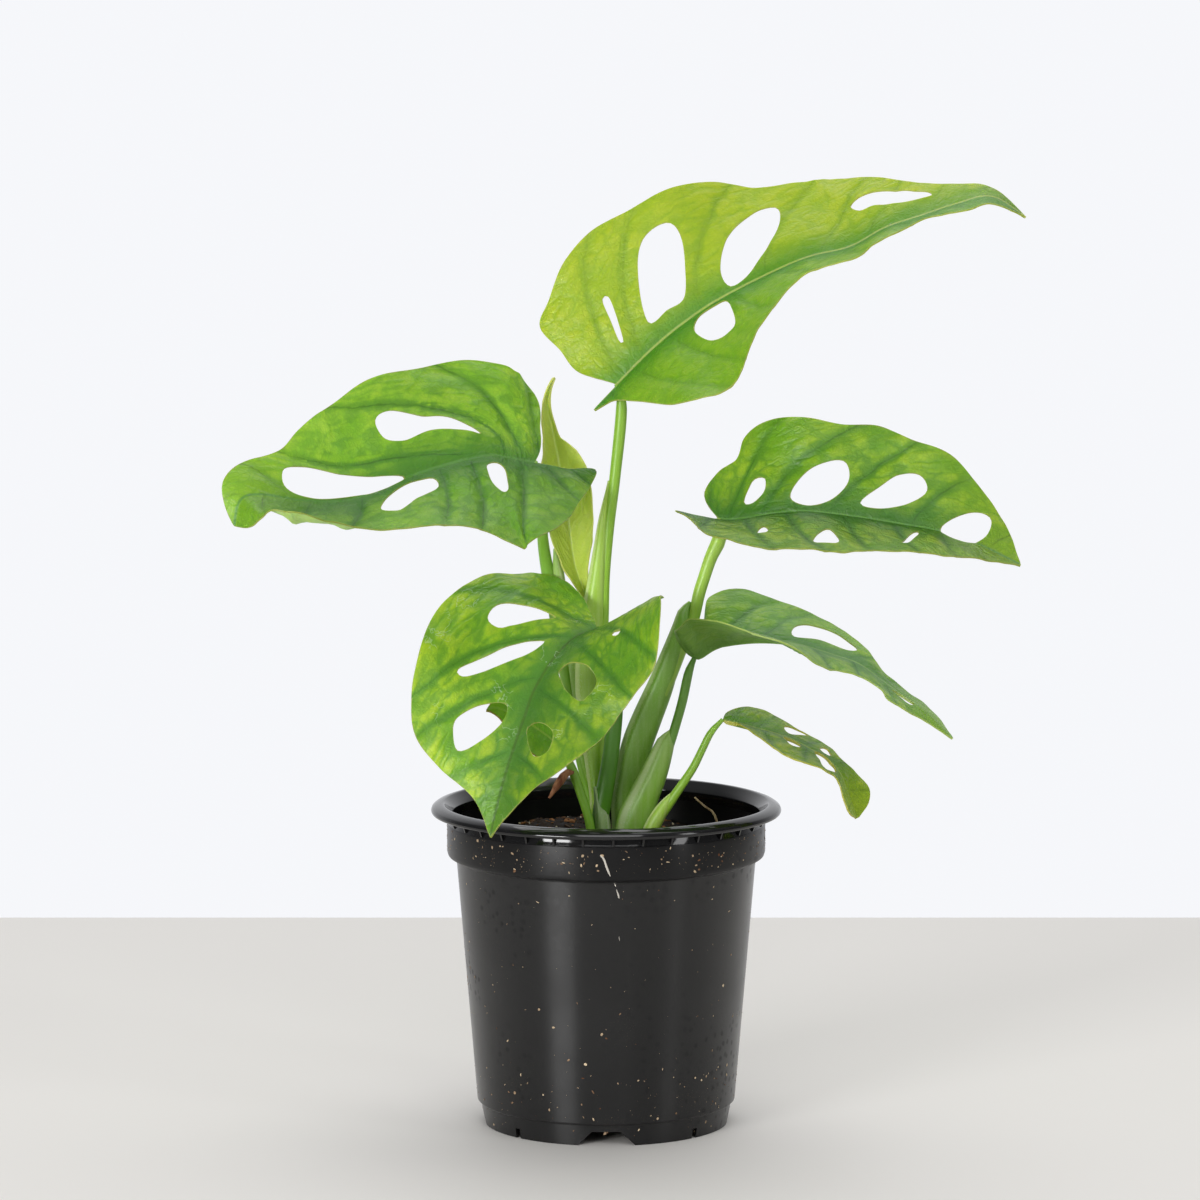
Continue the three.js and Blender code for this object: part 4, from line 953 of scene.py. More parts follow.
def dry_finish(name, dark, light):
    """Dry plant skin, streaked along its length."""
    made = Finish(name, roughness=0.8)
    streak = made.noise(made.stretched(made.place(), (700, 700, 120)), 1, detail=4)
    made.to_shader("Base Color", made.mix(made.span(streak, 0.3, 0.7), colour(dark), colour(light)))
    made.bump(streak, 0.5, 0.0003)
    return made.material


def stage_finish(name, code, roughness):
    """One plain colour."""
    made = Finish(name, roughness=roughness)
    made.to_shader("Base Color", colour(code))
    return made.material


def finished(bm, name, materials, replaces=(), sharp=35):
    """Scales a mesh in millimetres to metres and makes it a piece of the plant."""
    bmesh.ops.scale(bm, vec=(MM, MM, MM), verts=bm.verts)
    for face in bm.faces:
        face.smooth = True
    mesh = bpy.data.meshes.new(name)
    bm.to_mesh(mesh)
    bm.free()
    mesh.set_sharp_from_angle(angle=math.radians(sharp))
    for material in materials:
        mesh.materials.append(material)
    piece = bpy.data.objects.new(name, mesh)
    bpy.context.scene.collection.objects.link(piece)
    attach(piece, BODY)
    if replaces:
        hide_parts(*replaces)
    return piece


def flat_blade(bm, leaf):
    """The blade's flat outline with its holes, cut into small square cells."""
    left = Path([(u, v, 0) for u, v in leaf["left"]]).spaced(OUTLINE_STEP)
    right = Path([(u, v, 0) for u, v in leaf["right"]]).spaced(OUTLINE_STEP)
    loops = [left[:-1] + right[:0:-1]]
    outer = kdtree.KDTree(len(loops[0]))
    for i, corner in enumerate(loops[0]):
        outer.insert(corner, i)
    outer.balance()
    for hole in leaf["holes"]:
        loops.append(Path([(u, v, 0) for u, v in hole], closed=True).spaced(OUTLINE_STEP)[:-1])
    edges = []
    for loop in loops:
        corners = [bm.verts.new(place) for place in loop]
        edges += [bm.edges.new(pair) for pair in zip(corners, corners[1:] + corners[:1])]
    bmesh.ops.triangle_fill(bm, use_beauty=True, use_dissolve=False, edges=edges)
    for axis in (0, 1):
        places = [vert.co[axis] for vert in bm.verts]
        normal = Vector((1, 0, 0)) if axis == 0 else Vector((0, 1, 0))
        for line in range(math.ceil(min(places) / CELL), math.floor(max(places) / CELL) + 1):
            bmesh.ops.bisect_plane(
                bm, geom=bm.verts[:] + bm.edges[:] + bm.faces[:], dist=1e-4,
                plane_co=normal * line * CELL, plane_no=normal,
            )

    def on_line(edge, axis):
        a, b = (vert.co[axis] / CELL for vert in edge.verts)
        return abs(a - b) < 1e-3 and abs(a - round(a)) < 1e-3

    slanted = [e for e in bm.edges if not e.is_boundary and not on_line(e, 0) and not on_line(e, 1)]
    bmesh.ops.dissolve_edges(bm, edges=slanted, use_verts=False)
    spare = [v for v in bm.verts if len(v.link_edges) == 2 and not v.is_boundary]
    bmesh.ops.dissolve_verts(bm, verts=spare)
    return outer


def side_veins(name, v):
    """The side veins of the half of the blade on which v lies."""
    return VEINS[name]["left" if v > 0 else "right"]


def mark_blade(bm, name, length, outer):
    """Writes on the flat blade what its finish reads: two UV maps and a few values per point."""
    painted_shade_side = BLADES[name][2]
    flat = bm.loops.layers.uv.new("flat")
    veins = bm.loops.layers.uv.new("veins")
    rim, inland, spacing, tipward, lower = [
        bm.verts.layers.float.new(tag) for tag in ("rim", "inland", "spacing", "tipward", "lower")
    ]
    for vert in bm.verts:
        vert[tipward] = vert.co.x / length
        # The half that hangs lower, which the finish darkens with painted shade
        vert[lower] = ease(-1.5, 1.5, vert.co.y * painted_shade_side)
        vert[inland] = outer.find((vert.co.x, vert.co.y, 0))[2]
        vert[spacing] = vein_phase(side_veins(name, vert.co.y), *vert.co.xy)[1]
        if any(edge.other_vert(vert).co.z * vert.co.z < 0 for edge in vert.link_edges):
            vert[rim] = 1.0
    for face in bm.faces:
        centre = face.calc_center_median()
        face.material_index = 1 if centre.z < -0.1 else 0
        lines = side_veins(name, centre.y)
        for loop in face.loops:
            u, v, _ = loop.vert.co
            loop[flat].uv = (u / FLAT_SCALE, v / FLAT_SCALE)
            loop[veins].uv = (vein_phase(lines, u, v)[0] / PHASE_SCALE, abs(v) / FLAT_SCALE)


def blade_height(name, place, length, inland):
    """How far over the middle of the bent blade a place of the flat one comes to lie.

    The blade swells between its side veins and ripples. The midrib is a groove in the upper side,
    and midrib and side veins stand out of the under side, thinner towards the tip.
    """
    u, v, w = place
    phase, gap = vein_phase(side_veins(name, v), u, v)
    to_vein = abs(phase - round(phase)) * gap
    calm = ease(1.5, 9, abs(v)) * ease(0, 5, inland)
    relief = BLADES[name][0] * (0.5 - ridge(to_vein, SWELL_WIDTH)) * calm
    seed = len(name) * 7.3
    low_ripple = noise.noise(Vector((u * 0.06, v * 0.06, seed)))
    relief += LOW_RIPPLE * low_ripple * ease(2, 14, abs(v))
    fine_ripple = noise.noise(Vector((u * 0.2, v * 0.2, seed + 5)))
    relief += FINE_RIPPLE * fine_ripple * ease(0, 6, abs(v))
    thin = 1.15 - 0.75 * ease(0, 1, u / length)
    if w > 0:
        w -= MIDRIB_GROOVE * thin * ridge(v, MIDRIB_GROOVE_WIDTH)
    else:
        w -= MIDRIB_HEIGHT * thin * ridge(v, MIDRIB_WIDTH) * ease(-1, 2, u)
        w -= SIDE_VEIN_HEIGHT * thin * ridge(to_vein, SIDE_VEIN_WIDTH) * ease(1, 3, abs(v))
    return w + relief


def leaf_piece(name):
    """A blade with its veins and relief, made flat and then bent to shape."""
    leaf = LEAVES[name]
    rib = Midrib(leaf["midrib"])
    bm = bmesh.new()
    outer = flat_blade(bm, leaf)
    bmesh.ops.solidify(bm, geom=bm.faces[:], thickness=BLADE_THICKNESS)
    heights = [vert.co.z for vert in bm.verts]
    middle = (min(heights) + max(heights)) / 2
    for vert in bm.verts:
        vert.co.z -= middle
    mark_blade(bm, name, rib.length, outer)
    inland = bm.verts.layers.float["inland"]
    for vert in bm.verts:
        point, looks = surface(leaf, rib, *vert.co.xy)
        vert.co = point + looks * blade_height(name, vert.co, rib.length, vert[inland])
    bmesh.ops.recalc_face_normals(bm, faces=bm.faces)
    look = BLADES[name][1]
    materials = [leaf_finish(look, True), leaf_finish(look, False)]
    return finished(bm, f"{name}_blade", materials, [name], sharp=50)


def limb(bm, points, half, deepest=math.inf, fold=0.0, fold_at=0):
    """A limb along a path: one ring pulled along it, turned and swollen at each step.

    Its half thickness from front to back is held below deepest. A fold is a thin margin that
    runs the limb's length, at an angle from its right side.
    """
    path = Path(points)
    tag = bm.verts.layers.float.get("along") or bm.verts.layers.float.new("along")
    margin = bm.verts.layers.float.get("margin") or bm.verts.layers.float.new("margin")
    rings = max(6, round(path.length / STALK_STEP))
    ring = bmesh.ops.create_circle(bm, segments=STALK_SIDES, radius=1, cap_ends=True)["verts"]
    for vert in ring:
        gap = math.remainder(math.atan2(vert.co.y, vert.co.x) - math.radians(fold_at), 2 * math.pi)
        if fold:
            vert[margin] = ridge(gap, MARGIN_WIDTH)
        vert.co *= 1 - fold * ridge(gap - FOLD_AHEAD, FOLD_WIDTH)
    edges = list({edge for vert in ring for edge in vert.link_edges})
    before = Matrix.Identity(4)
    for i in range(rings + 1):
        length = path.length * i / rings
        ahead = path.at(min(length + 1, path.length))
        direction = (ahead - path.at(max(length - 1, 0))).normalized()
        across = Vector((0, 1, 0)).cross(direction).normalized()
        backward = direction.cross(across)
        place = sum(1 for corner in path.at_corner[1:-1] if corner <= length)
        span = path.at_corner[place + 1] - path.at_corner[place]
        wide = smoothed(half, place + (length - path.at_corner[place]) / span)
        shape = Matrix((across * wide, backward * min(wide, deepest), direction)).transposed().to_4x4()
        shape.translation = path.at(length)
        if i:
            made = bmesh.ops.extrude_edge_only(bm, edges=edges)["geom"]
            ring = [g for g in made if isinstance(g, bmesh.types.BMVert)]
            edges = [g for g in made if isinstance(g, bmesh.types.BMEdge)]
            edges = [e for e in edges if e.verts[0] in ring and e.verts[1] in ring]
        bmesh.ops.transform(bm, matrix=shape @ before.inverted(), verts=ring)
        before = shape
        for vert in ring:
            vert[tag] = i / rings
    bmesh.ops.edgeloop_fill(bm, edges=edges)
    bmesh.ops.recalc_face_normals(bm, faces=bm.faces)


# Looks of stalks and sheaths: the foot, the top, the pale streaks and margin and their strength
STALK_LOOKS = {
    "top_leaf_stalk": ("98c832", "7fac30", "b4cf6c", 0.3),
    "left_leaf_stalk": ("7cb02c", "76a634", "a8c666", 0.3),
    # The front stalk's greens are its own green darkened with painted shade, as it stands in shadow
    "front_leaf_stalk": ("56901c", "457c20", "84ac50", 0.2),
    "right_leaf_stalk": ("6a9c2a", "a4c94c", "b4cf80", 0.35),
    "low_leaf_stalk": ("76aa38", "56862a", "a0c074", 0.3),
    "small_leaf_stalk": ("92bc38", "76a42a", "bcd27c", 0.3),
    "hidden_leaf_stalk": ("72ac22", "84b832", "acca66", 0.3),
}
SHEATH_LOOKS = {
    "top_leaf_stalk": ("94c630", "9fc04c", "ccdc9c", 0.5),
    "left_leaf_stalk": ("84b636", "92b458", "c6d59c", 0.6),
    "front_leaf_stalk": ("7aa24c", "94b074", "c8d4b0", 0.8),
    "right_leaf_stalk": ("70a02a", "70a034", "b8cc90", 0.5),
    "low_leaf_stalk": ("82b438", "84ac48", "b8cc90", 0.6),
    "small_leaf_stalk": ("9cc440", "96bc40", "d4e0a4", 0.5),
}

# Where the free margin of each sheath lies, in degrees round from its right side; its back is 90
SHEATH_FOLDS = {
    "top_leaf_stalk": -155,
    "left_leaf_stalk": -60,
    "front_leaf_stalk": -35,
    "right_leaf_stalk": -160,
    "low_leaf_stalk": -140,
    "small_leaf_stalk": -170,
}


def stalk_piece(name):
    """A stalk up to its leaf, with the sheath round its foot where it has one."""
    stalk = STALKS[name]
    leaf = LEAVES[stalk["leaf"]]
    rib = Midrib(leaf["midrib"])
    bm = bmesh.new()
    limb(bm, stalk["path"] + [tuple(rib.at(0))], stalk["half"])
    stalk_faces = set(bm.faces)
    materials = [stalk_finish(name, *STALK_LOOKS[name])]
    if "sheath" in stalk:
        fold_at = SHEATH_FOLDS[name]
        limb(bm, stalk["sheath"], stalk["sheath_half"], SHEATH_DEPTH, SHEATH_FOLD, fold_at)
        for face in bm.faces:
            if face not in stalk_faces:
                face.material_index = 1
        materials.append(stalk_finish(f"{name}_sheath", *SHEATH_LOOKS[name]))
    return finished(bm, f"{name}_round", materials, [name])


def pot_profile():
    """Radius and height of the pot's corners, up the outside and down the inside."""
    inner = COLLAR_R - WALL
    floor_top = FLOOR_Z + WALL
    return [
        (0, 0), (PAD_R, 0), (PAD_R + 1.4, FLOOR_Z), (FOOT_R - 1.5, FLOOR_Z), (FOOT_R - 1.2, 0),
        (FOOT_R, 0), (FOOT_R + 0.9, FOOT_STEP_Z - 0.4), (BODY_FOOT_R, FOOT_STEP_Z + 0.4),
        (BODY_TOP_R, SHOULDER_Z - 0.4), (COLLAR_R - 1.6, SHOULDER_Z + 0.2),
        (COLLAR_R - 0.4, SHOULDER_Z + 1), (COLLAR_R, SHOULDER_Z + 2.3),
        (COLLAR_R, COLLAR_TOP_Z - 0.6), (COLLAR_R - 0.3, COLLAR_TOP_Z),
        (COLLAR_R - 1, LIP_Z - 3.1), (COLLAR_R + 0.2, LIP_Z - 2.5), (LIP_R - 0.8, LIP_UNDER_Z),
        (LIP_R - 0.2, LIP_UNDER_Z + 0.3), (LIP_R, LIP_Z - 2.3), (LIP_R - 0.4, LIP_Z - 1.3),
        (LIP_R - 1.6, LIP_Z - 0.5), (LIP_R - 3.2, LIP_Z), (OPENING_R + 0.5, LIP_Z),
        (OPENING_R, LIP_Z - 0.5), (inner + 0.3, LIP_Z - 2.1), (inner - 0.8, LIP_UNDER_Z),
        (inner - 0.8, COLLAR_TOP_Z + 1.2), (inner, COLLAR_TOP_Z - 0.6), (inner, SHOULDER_Z + 2.6),
        (inner - 0.7, SHOULDER_Z + 1.4), (BODY_TOP_R - WALL, SHOULDER_Z + 1),
        (BODY_TOP_R - WALL - 0.1, SHOULDER_Z - 1), (BODY_FOOT_R - WALL, floor_top + 2.4),
        (BODY_FOOT_R - WALL - 1, floor_top), (PAD_R + 0.6, floor_top), (PAD_R - 0.6, WALL),
        (0, WALL),
    ]


def turned(bm, profile, steps):
    """A profile of radius and height, turned about the upright axis."""
    corners = [bm.verts.new((r, 0, z)) for r, z in profile]
    line = [bm.edges.new(pair) for pair in zip(corners, corners[1:])]
    bmesh.ops.spin(
        bm, geom=corners + line, cent=(0, 0, 0), axis=(0, 0, 1), dvec=(0, 0, 0),
        angle=2 * math.pi, steps=steps, use_merge=True, use_normal_flip=False, use_duplicate=False,
    )
    bmesh.ops.remove_doubles(bm, verts=bm.verts, dist=1e-4)
    bmesh.ops.recalc_face_normals(bm, faces=bm.faces)


def prism(bm, outline, inward, outward, angle):
    """A flat outline of across and up, standing off the axis, pulled outwards at an angle."""
    corners = [bm.verts.new((x, -inward, z)) for x, z in outline]
    face = bm.faces.new(corners)
    pulled = bmesh.ops.extrude_face_region(bm, geom=[face])["geom"]
    moved = [g for g in pulled if isinstance(g, bmesh.types.BMVert)]
    bmesh.ops.translate(bm, vec=(0, inward - outward, 0), verts=moved)
    whole = corners + moved
    bmesh.ops.rotate(bm, cent=(0, 0, 0), matrix=Matrix.Rotation(angle, 3, "Z"), verts=whole)
    return whole


def upright(width, low, high):
    """An upright oblong about the middle line."""
    return [(-width / 2, low), (width / 2, low), (width / 2, high), (-width / 2, high)]


def foot_cutters():
    """What is cut out of the foot: notches, slits between them and drain holes, four of each."""
    cutters = bmesh.new()
    notch = [
        (-NOTCH_FOOT_WIDTH / 2, -1), (NOTCH_FOOT_WIDTH / 2, -1),
        (NOTCH_TOP_WIDTH / 2, NOTCH_HEIGHT), (-NOTCH_TOP_WIDTH / 2, NOTCH_HEIGHT),
    ]
    slit = upright(SLIT_WIDTH, -1, SLIT_HEIGHT)
    inward, outward = FOOT_R - 6, FOOT_R + 3
    for quarter in range(4):
        angle = quarter * math.pi / 2
        prism(cutters, notch, inward, outward, angle)
        prism(cutters, slit, inward, outward, angle + math.pi / 4)
        spot = Matrix.Rotation(angle, 4, "Z") @ Matrix.Translation((0, -DRAIN_FROM_AXIS, FLOOR_Z))
        bmesh.ops.create_cone(
            cutters, cap_ends=True, segments=40, radius1=DRAIN_R, radius2=DRAIN_R,
            depth=4 * WALL, matrix=spot,
        )
    bmesh.ops.recalc_face_normals(cutters, faces=cutters.faces)
    return cutters


def add_gussets(bm):
    """The small upright ribs under the lip, each with its lower corner drawn in to the collar."""
    gusset = upright(GUSSET_THICKNESS, COLLAR_TOP_Z - 0.2, LIP_UNDER_Z + 0.6)
    for i in range(GUSSETS):
        angle = (i + GUSSET_START) / GUSSETS * 2 * math.pi
        corners = prism(bm, gusset, COLLAR_R - 1.1, GUSSET_REACH_R, angle)
        for vert in corners:
            reach = vert.co.xy.length
            if reach > COLLAR_R + 1 and vert.co.z < COLLAR_TOP_Z + 1:
                vert.co.xy *= COLLAR_R / reach


def pot_piece():
    """The pot, with rounded corners, its foot cut and the ribs under its lip set on."""
    bm = bmesh.new()
    turned(bm, pot_profile(), POT_STEPS)
    rings = [e for e in bm.edges if abs(e.verts[0].co.z - e.verts[1].co.z) < 1e-4]
    rings = [e for e in rings if len(e.link_faces) == 2 and e.calc_face_angle() > math.radians(24)]
    rings = [e for e in rings if e.verts[0].co.xy.length > 1]
    bmesh.ops.bevel(
        bm, geom=rings, offset=CORNER_ROUNDING, offset_type="OFFSET", segments=2, profile=0.5,
        affect="EDGES", clamp_overlap=True, material=-1,
    )
    bm = cut(bm, foot_cutters())
    add_gussets(bm)
    for face in bm.faces:
        height = face.calc_center_median().z
        face.material_index = 2 if height > COLLAR_TOP_Z - 0.3 else int(height > SHOULDER_Z)
    materials = [pot_finish("body"), pot_finish("collar"), pot_finish("lip")]
    return finished(bm, "pot_body", materials, ["pot"], sharp=40)


def cut(bm, cutters):
    """The first mesh with the second one cut away."""
    pieces = []
    for shape, name in ((bm, "uncut"), (cutters, "cutters")):
        mesh = bpy.data.meshes.new(name)
        shape.to_mesh(mesh)
        shape.free()
        pieces.append(bpy.data.objects.new(name, mesh))
        bpy.context.scene.collection.objects.link(pieces[-1])
    body, tool = pieces
    step = body.modifiers.new("cut", "BOOLEAN")
    step.operation = "DIFFERENCE"
    step.solver = "EXACT"
    step.object = tool
    ready = body.evaluated_get(bpy.context.evaluated_depsgraph_get())
    result = bmesh.new()
    result.from_mesh(ready.to_mesh())
    ready.to_mesh_clear()
    for piece in pieces:
        mesh = piece.data
        bpy.data.objects.remove(piece)
        bpy.data.meshes.remove(mesh)
    return result


def soil_height(x, y):
    """The soil's top, the same as the part's own."""
    height = SOIL_TOP_Z
    for (cx, cy), high, reach in SOIL_HEAPS:
        height += high * math.exp(-((x - cx) ** 2 + (y - cy) ** 2) / reach ** 2)
    height += 0.5 * math.sin(x * 0.42 + 1) * math.cos(y * 0.36)
    height += 0.35 * math.sin(x * 0.2 - y * 0.5)
    return height


def soil_surface(x, y):
    """The soil's top with clods on it."""
    clods = noise.fractal(Vector((x, y, 3)) * 0.16, 0.8, 2.1, 5)
    return soil_height(x, y) + 0.9 * clods


def soil_piece():
    """The potting mix that fills the pot."""
    bm = bmesh.new()
    under = FLOOR_Z + WALL + 0.35
    ledge = SHOULDER_Z + 3.2
    profile = [
        (0, under), (BODY_FOOT_R - WALL - 1.6, under), (BODY_FOOT_R - WALL - 0.6, under + 2.3),
        (BODY_TOP_R - WALL - 0.6, SHOULDER_Z - 1), (BODY_TOP_R - WALL - 0.5, ledge - 0.2),
        (SOIL_R, ledge),
    ]
    top = [(SOIL_R * (1 - i / SOIL_RINGS), SOIL_TOP_Z) for i in range(SOIL_RINGS + 1)]
    turned(bm, profile + top, SOIL_STEPS)
    for vert in bm.verts:
        if vert.co.z > SOIL_TOP_Z - 0.01:
            x, y, _ = vert.co
            vert.co.z = max(soil_surface(x, y), ledge + 0.4)
    return finished(bm, "soil_mix", [soil_finish()], ["soil"])


# Edges of a crumb stay sharp where they bend by more than this, in degrees
CRUMB_SHARP = 25


def crumb(bm, place, size, tilt, tint, rng):
    """One rough crumb, from a twenty-sided ball pushed about at random."""
    layer = bm.verts.layers.float.get("tint") or bm.verts.layers.float.new("tint")
    shape = Matrix.Translation(place) @ tilt @ Matrix.Diagonal((*size, 1))
    made = bmesh.ops.create_icosphere(bm, subdivisions=1, radius=1, matrix=shape)["verts"]
    middle = Vector(place)
    for vert in made:
        vert.co = middle + (vert.co - middle) * rng.uniform(0.7, 1.15)
        vert[layer] = tint


def random_tilt(rng, lean=1.0):
    """A random turn about the upright and a random lean, in radians, to either side."""
    turn = Matrix.Rotation(rng.uniform(0, 2 * math.pi), 4, "Z")
    return turn @ Matrix.Rotation(rng.uniform(-lean, lean), 4, "X")


def random_place(rng, reach):
    """A place anywhere on the soil within reach of its middle."""
    angle, out = rng.uniform(0, 2 * math.pi), math.sqrt(rng.random()) * reach
    return out * math.cos(angle), out * math.sin(angle)


def free_of_stalks(x, y, size):
    """Whether a crumb of a size keeps off the feet of all the stalks."""
    feet = [place for stalk in STALKS.values() for place in stalk["path"][:2]]
    return all(math.hypot(x - px, y - py) >= size + STALK_CLEARANCE for px, py, _ in feet)


def bark_piece():
    """Bark chips over the soil, thicker on the heaps at the back."""
    rng = random.Random(11)
    bm = bmesh.new()
    placed = 0
    while placed < BARK_CHIPS:
        if placed % 3 == 0:
            (cx, cy), _, reach = rng.choice(SOIL_HEAPS[1:])
            x, y = rng.gauss(cx, reach * 0.7), rng.gauss(cy, reach * 0.7)
        else:
            x, y = random_place(rng, SOIL_R)
        long = rng.uniform(0.35, 1.1) * (2 if rng.random() < 0.16 else 1)
        if math.hypot(x, y) > SOIL_R - long - 0.3 or not free_of_stalks(x, y, long):
            continue
        size = (long, long * rng.uniform(0.35, 0.7), long * rng.uniform(0.2, 0.45))
        place = (x, y, soil_surface(x, y) + size[2] * 0.4)
        crumb(bm, place, size, random_tilt(rng, 0.7), rng.random() ** 2.5, rng)
        placed += 1
    finish = crumb_finish("bark", "140c07", "a87244")
    return finished(bm, "bark_chips", [finish], sharp=CRUMB_SHARP)


def grit_piece():
    """Pale grit among the bark."""
    rng = random.Random(5)
    bm = bmesh.new()
    placed = 0
    while placed < GRIT_GRAINS:
        x, y = random_place(rng, SOIL_R - 2)
        if not free_of_stalks(x, y, 1):
            continue
        size = [rng.uniform(0.25, 0.6) for _ in range(3)]
        crumb(bm, (x, y, soil_surface(x, y) + 0.3), size, random_tilt(rng), rng.random(), rng)
        placed += 1
    finish = crumb_finish("grit", "b9a88c", "efe8da")
    return finished(bm, "pale_grit", [finish], sharp=CRUMB_SHARP)


def pot_radius(z):
    """The pot's outer radius at a height, off its lip."""
    if z < FOOT_STEP_Z:
        return FOOT_R + 0.9 * z / FOOT_STEP_Z
    if z < SHOULDER_Z:
        part = (z - FOOT_STEP_Z) / (SHOULDER_Z - FOOT_STEP_Z)
        return BODY_FOOT_R + (BODY_TOP_R - BODY_FOOT_R) * part
    return COLLAR_R


def flake(bm, angle, z, long, wide, tint, rng):
    """A thin flake stuck to the outside of the pot."""
    r = pot_radius(z) + 0.02
    place = (r * math.cos(angle), r * math.sin(angle), z)
    lie = Matrix.Rotation(angle, 4, "Z") @ Matrix.Rotation(rng.uniform(-1.5, 1.5), 4, "X")
    crumb(bm, place, (0.12, wide, long), lie, tint, rng)


# The pot's specks, and where they lie: on the collar, near the foot, and on the whole body. Each
# band is given with the share of specks that lie in it or in those before it
SPECKS = 1100
SPECK_BANDS = [
    (0.4, SHOULDER_Z + 2.6, COLLAR_TOP_Z - 1),
    (0.65, 1.5, 24),
    (1.0, 9, SHOULDER_Z - 3),
]


def specks_piece():
    """Specks of bark and grit dried onto the pot."""
    rng = random.Random(23)
    bm = bmesh.new()
    for _ in range(SPECKS):
        drawn = rng.random()
        low, high = next(heights for share, *heights in SPECK_BANDS if drawn < share)
        z = rng.uniform(low, high)
        if abs(z - FOOT_STEP_Z) < 1:
            continue
        long = 0.1 + 0.65 * rng.random() ** 4
        flake(bm, rng.uniform(0, 2 * math.pi), z, long, long * rng.uniform(0.25, 0.9), rng.random(), rng)
    finish = crumb_finish("specks", "5c3a22", "dcc8a6")
    return finished(bm, "pot_specks", [finish], sharp=CRUMB_SHARP)


# Dried white runs down the front of the pot: angles in degrees from straight ahead, heights and
# half widths of each run's points
WHITE_RUNS = [
    [(-2.2, 101.6, 0.15), (-0.9, 100.4, 0.34), (-0.2, 98.4, 0.32), (0.6, 96.3, 0.36), (1.4, 94.5, 0.1)],
    [(3.0, 91.6, 0.1), (3.3, 91.0, 0.22), (3.5, 90.4, 0.1)],
    [(3.8, 89.4, 0.12), (4.2, 88.3, 0.2), (4.6, 87.2, 0.3), (4.8, 86.4, 0.12)],
    [(4.9, 73.2, 0.04), (5.0, 72.5, 0.1), (5.1, 71.8, 0.04)],
]


def white_runs_piece():
    """The dried runs, each a thin limb that lies on the pot."""
    bm = bmesh.new()
    for run in WHITE_RUNS:
        points = []
        for degrees, z, _ in run:
            angle = math.radians(degrees - 90)
            points.append((pot_radius(z) * math.cos(angle), pot_radius(z) * math.sin(angle), z))
        limb(bm, points, [half for _, _, half in run], deepest=0.12)
    return finished(bm, "white_runs", [crumb_finish("dried_salt", "b9b4aa", "f4f1ea")])


def root_piece():
    """The thin root that loops out of the soil."""
    bm = bmesh.new()
    limb(bm, AERIAL_ROOT, AERIAL_ROOT_HALF)
    finish = dry_finish("dry_root", "8f7350", "cdb88f")
    return finished(bm, "aerial_root_thread", [finish], ["aerial_root"])


def dry_tip_piece():
    """The dry brown tip of the hidden stalk's sheath."""
    bm = bmesh.new()
    limb(bm, DRY_TIP, DRY_TIP_HALF, fold=0.5)
    finish = dry_finish("dry_sheath", "6b3a22", "b57d58")
    return finished(bm, "dry_sheath_tip", [finish], ["dry_tip"])


# Table top, in metres
TABLE_HALF_WIDTH = 2.5
TABLE_HALF_DEPTH = 1.4
TABLE_BACK_Y = 0.384

# Lamps: name, place and size in metres, and power in watts. All of them aim at the plant's middle
LAMPS = [
    ("left_window", (-1.2, -1.65, 0.37), (0.7, 0.64), 28),
    ("right_window", (1.55, -1.05, 0.62), (0.3, 0.9), 4),
    ("front_wall", (0.1, -2.6, 1.9), (2.2, 1.1), 23),
    ("overhead", (0.2, 0.5, 1.5), (1.6, 1.2), 10),
]
LAMP_AIM = (0, 0, 0.15)

# The room's light: which axis it grows along, from where to where and how strong it gets
ROOM_FLOOR_LIGHT = 0.15
ROOM_LIGHT = [("Y", 0.3, 0.95, 0.7), ("Z", 0.2, 1.0, 0.25)]
BACKDROP_BRIGHTNESS = 0.96

# Camera, found from the ellipses of the pot's rim, shoulder and foot in the photograph: place in
# metres, degrees that it looks down, lens and sensor width in millimetres
CAMERA_PLACE = (-0.002116, -1.85773, 0.41184)
CAMERA_DOWN = 7.1
LENS = 164.74
SENSOR_WIDTH = 36


def table_top():
    """The pale table top that the pot stands on."""
    bm = bmesh.new()
    bmesh.ops.create_grid(bm, x_segments=1, y_segments=1, size=1)
    bmesh.ops.scale(bm, vec=(TABLE_HALF_WIDTH, TABLE_HALF_DEPTH, 1), verts=bm.verts)
    bmesh.ops.translate(bm, vec=(0, TABLE_BACK_Y - TABLE_HALF_DEPTH, 0), verts=bm.verts)
    mesh = bpy.data.meshes.new("table_top")
    bm.to_mesh(mesh)
    bm.free()
    table = bpy.data.objects.new("table_top", mesh)
    bpy.context.scene.collection.objects.link(table)
    mesh.materials.append(stage_finish("pale_table", "eae7e2", 0.7))


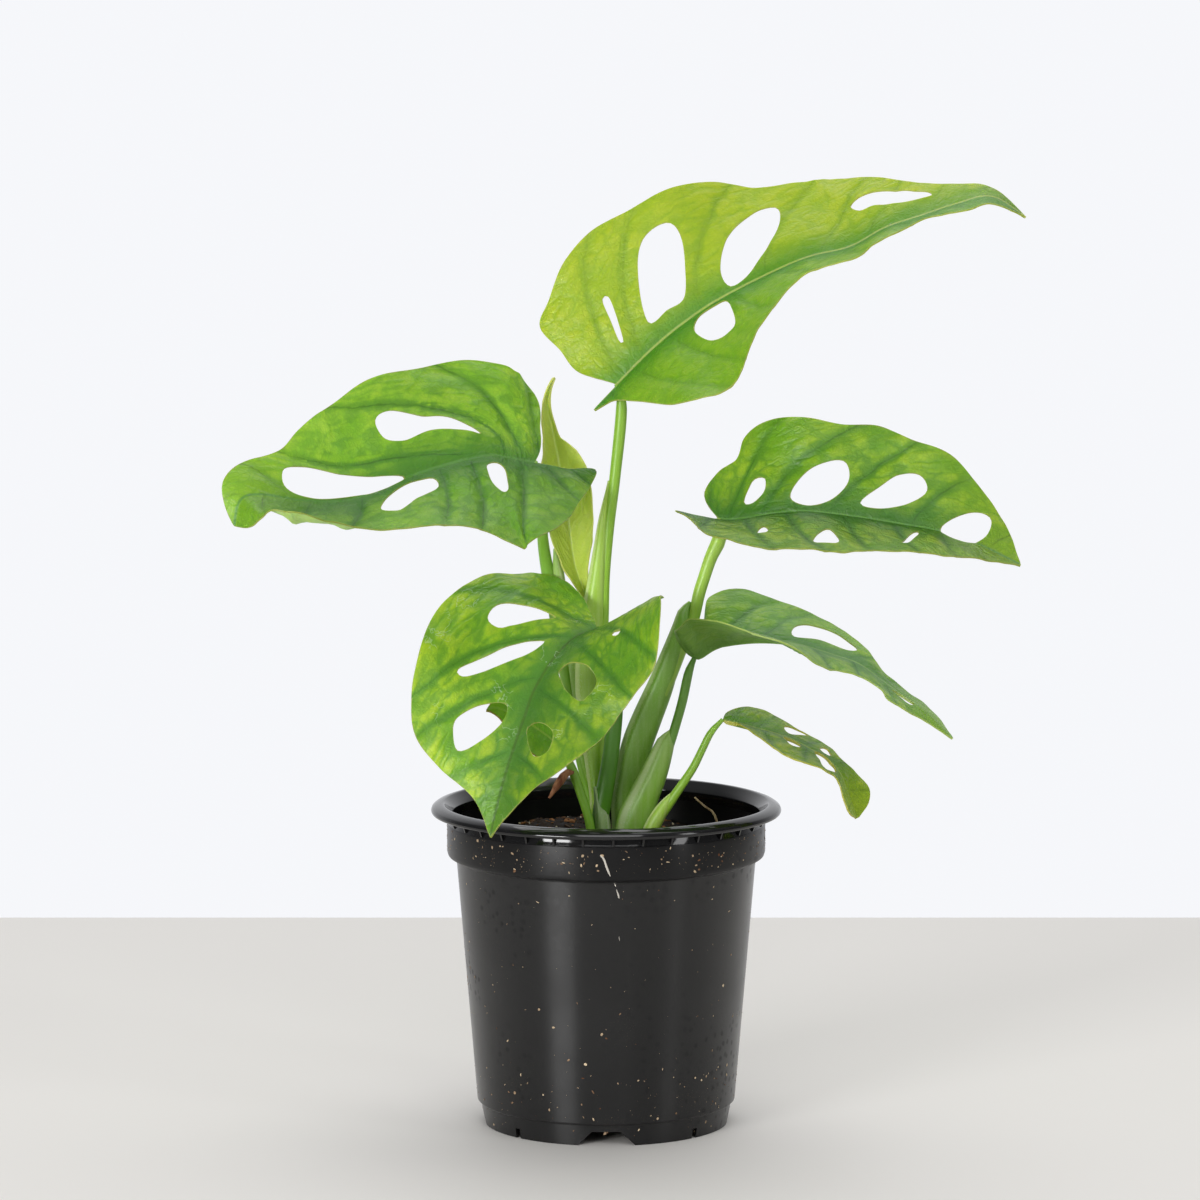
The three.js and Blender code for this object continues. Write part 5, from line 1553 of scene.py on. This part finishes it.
def lamps():
    """Wide soft lamps round the plant."""
    for name, place, size, power in LAMPS:
        lamp = bpy.data.lights.new(name, "AREA")
        lamp.shape = "RECTANGLE"
        lamp.size, lamp.size_y = size
        lamp.energy = power
        holder = bpy.data.objects.new(name, lamp)
        holder.location = place
        aim = Vector(LAMP_AIM) - Vector(place)
        holder.rotation_euler = aim.to_track_quat("-Z", "Y").to_euler()
        bpy.context.scene.collection.objects.link(holder)


def soft_room():
    """A plain white surround, which lights the plant more from behind and above than in front."""
    world = bpy.data.worlds.new("soft_room")
    world.use_nodes = True
    nodes, links = world.node_tree.nodes, world.node_tree.links
    background = nodes["Background"]
    background.inputs["Color"].default_value = (0.96, 0.97, 1, 1)
    direction = nodes.new("ShaderNodeTexCoord").outputs["Generated"]
    parts = nodes.new("ShaderNodeSeparateXYZ")
    links.new(direction, parts.inputs[0])
    total = None
    for axis, low, high, strength in ROOM_LIGHT:
        reach = nodes.new("ShaderNodeMapRange")
        reach.interpolation_type = "SMOOTHSTEP"
        links.new(parts.outputs[axis], reach.inputs[0])
        for socket, value in zip(reach.inputs[1:5], (low, high, 0, strength)):
            socket.default_value = value
        added = nodes.new("ShaderNodeMath")
        added.operation = "ADD"
        links.new(reach.outputs[0], added.inputs[0])
        added.inputs[1].default_value = ROOM_FLOOR_LIGHT
        if total:
            links.new(total, added.inputs[1])
        total = added.outputs[0]
    seen = nodes.new("ShaderNodeMix")
    links.new(nodes.new("ShaderNodeLightPath").outputs["Is Camera Ray"], seen.inputs[0])
    links.new(total, seen.inputs[2])
    seen.inputs[3].default_value = BACKDROP_BRIGHTNESS
    links.new(seen.outputs[0], background.inputs["Strength"])
    return world


def camera():
    """The photograph's view."""
    lens = bpy.data.cameras.new("front_view")
    lens.lens = LENS
    lens.sensor_width = SENSOR_WIDTH
    lens.clip_start = 0.05
    holder = bpy.data.objects.new("front_view", lens)
    holder.location = CAMERA_PLACE
    holder.rotation_euler = (math.radians(90 - CAMERA_DOWN), 0, 0)
    bpy.context.scene.collection.objects.link(holder)
    bpy.context.scene.camera = holder


pot_piece()
specks_piece()
white_runs_piece()
soil_piece()
bark_piece()
grit_piece()
for stalk_name in STALKS:
    stalk_piece(stalk_name)
for leaf_name in LEAVES:
    leaf_piece(leaf_name)
root_piece()
dry_tip_piece()
table_top()
lamps()
bpy.context.scene.world = soft_room()
camera()
bpy.context.scene.view_settings.view_transform = "Standard"
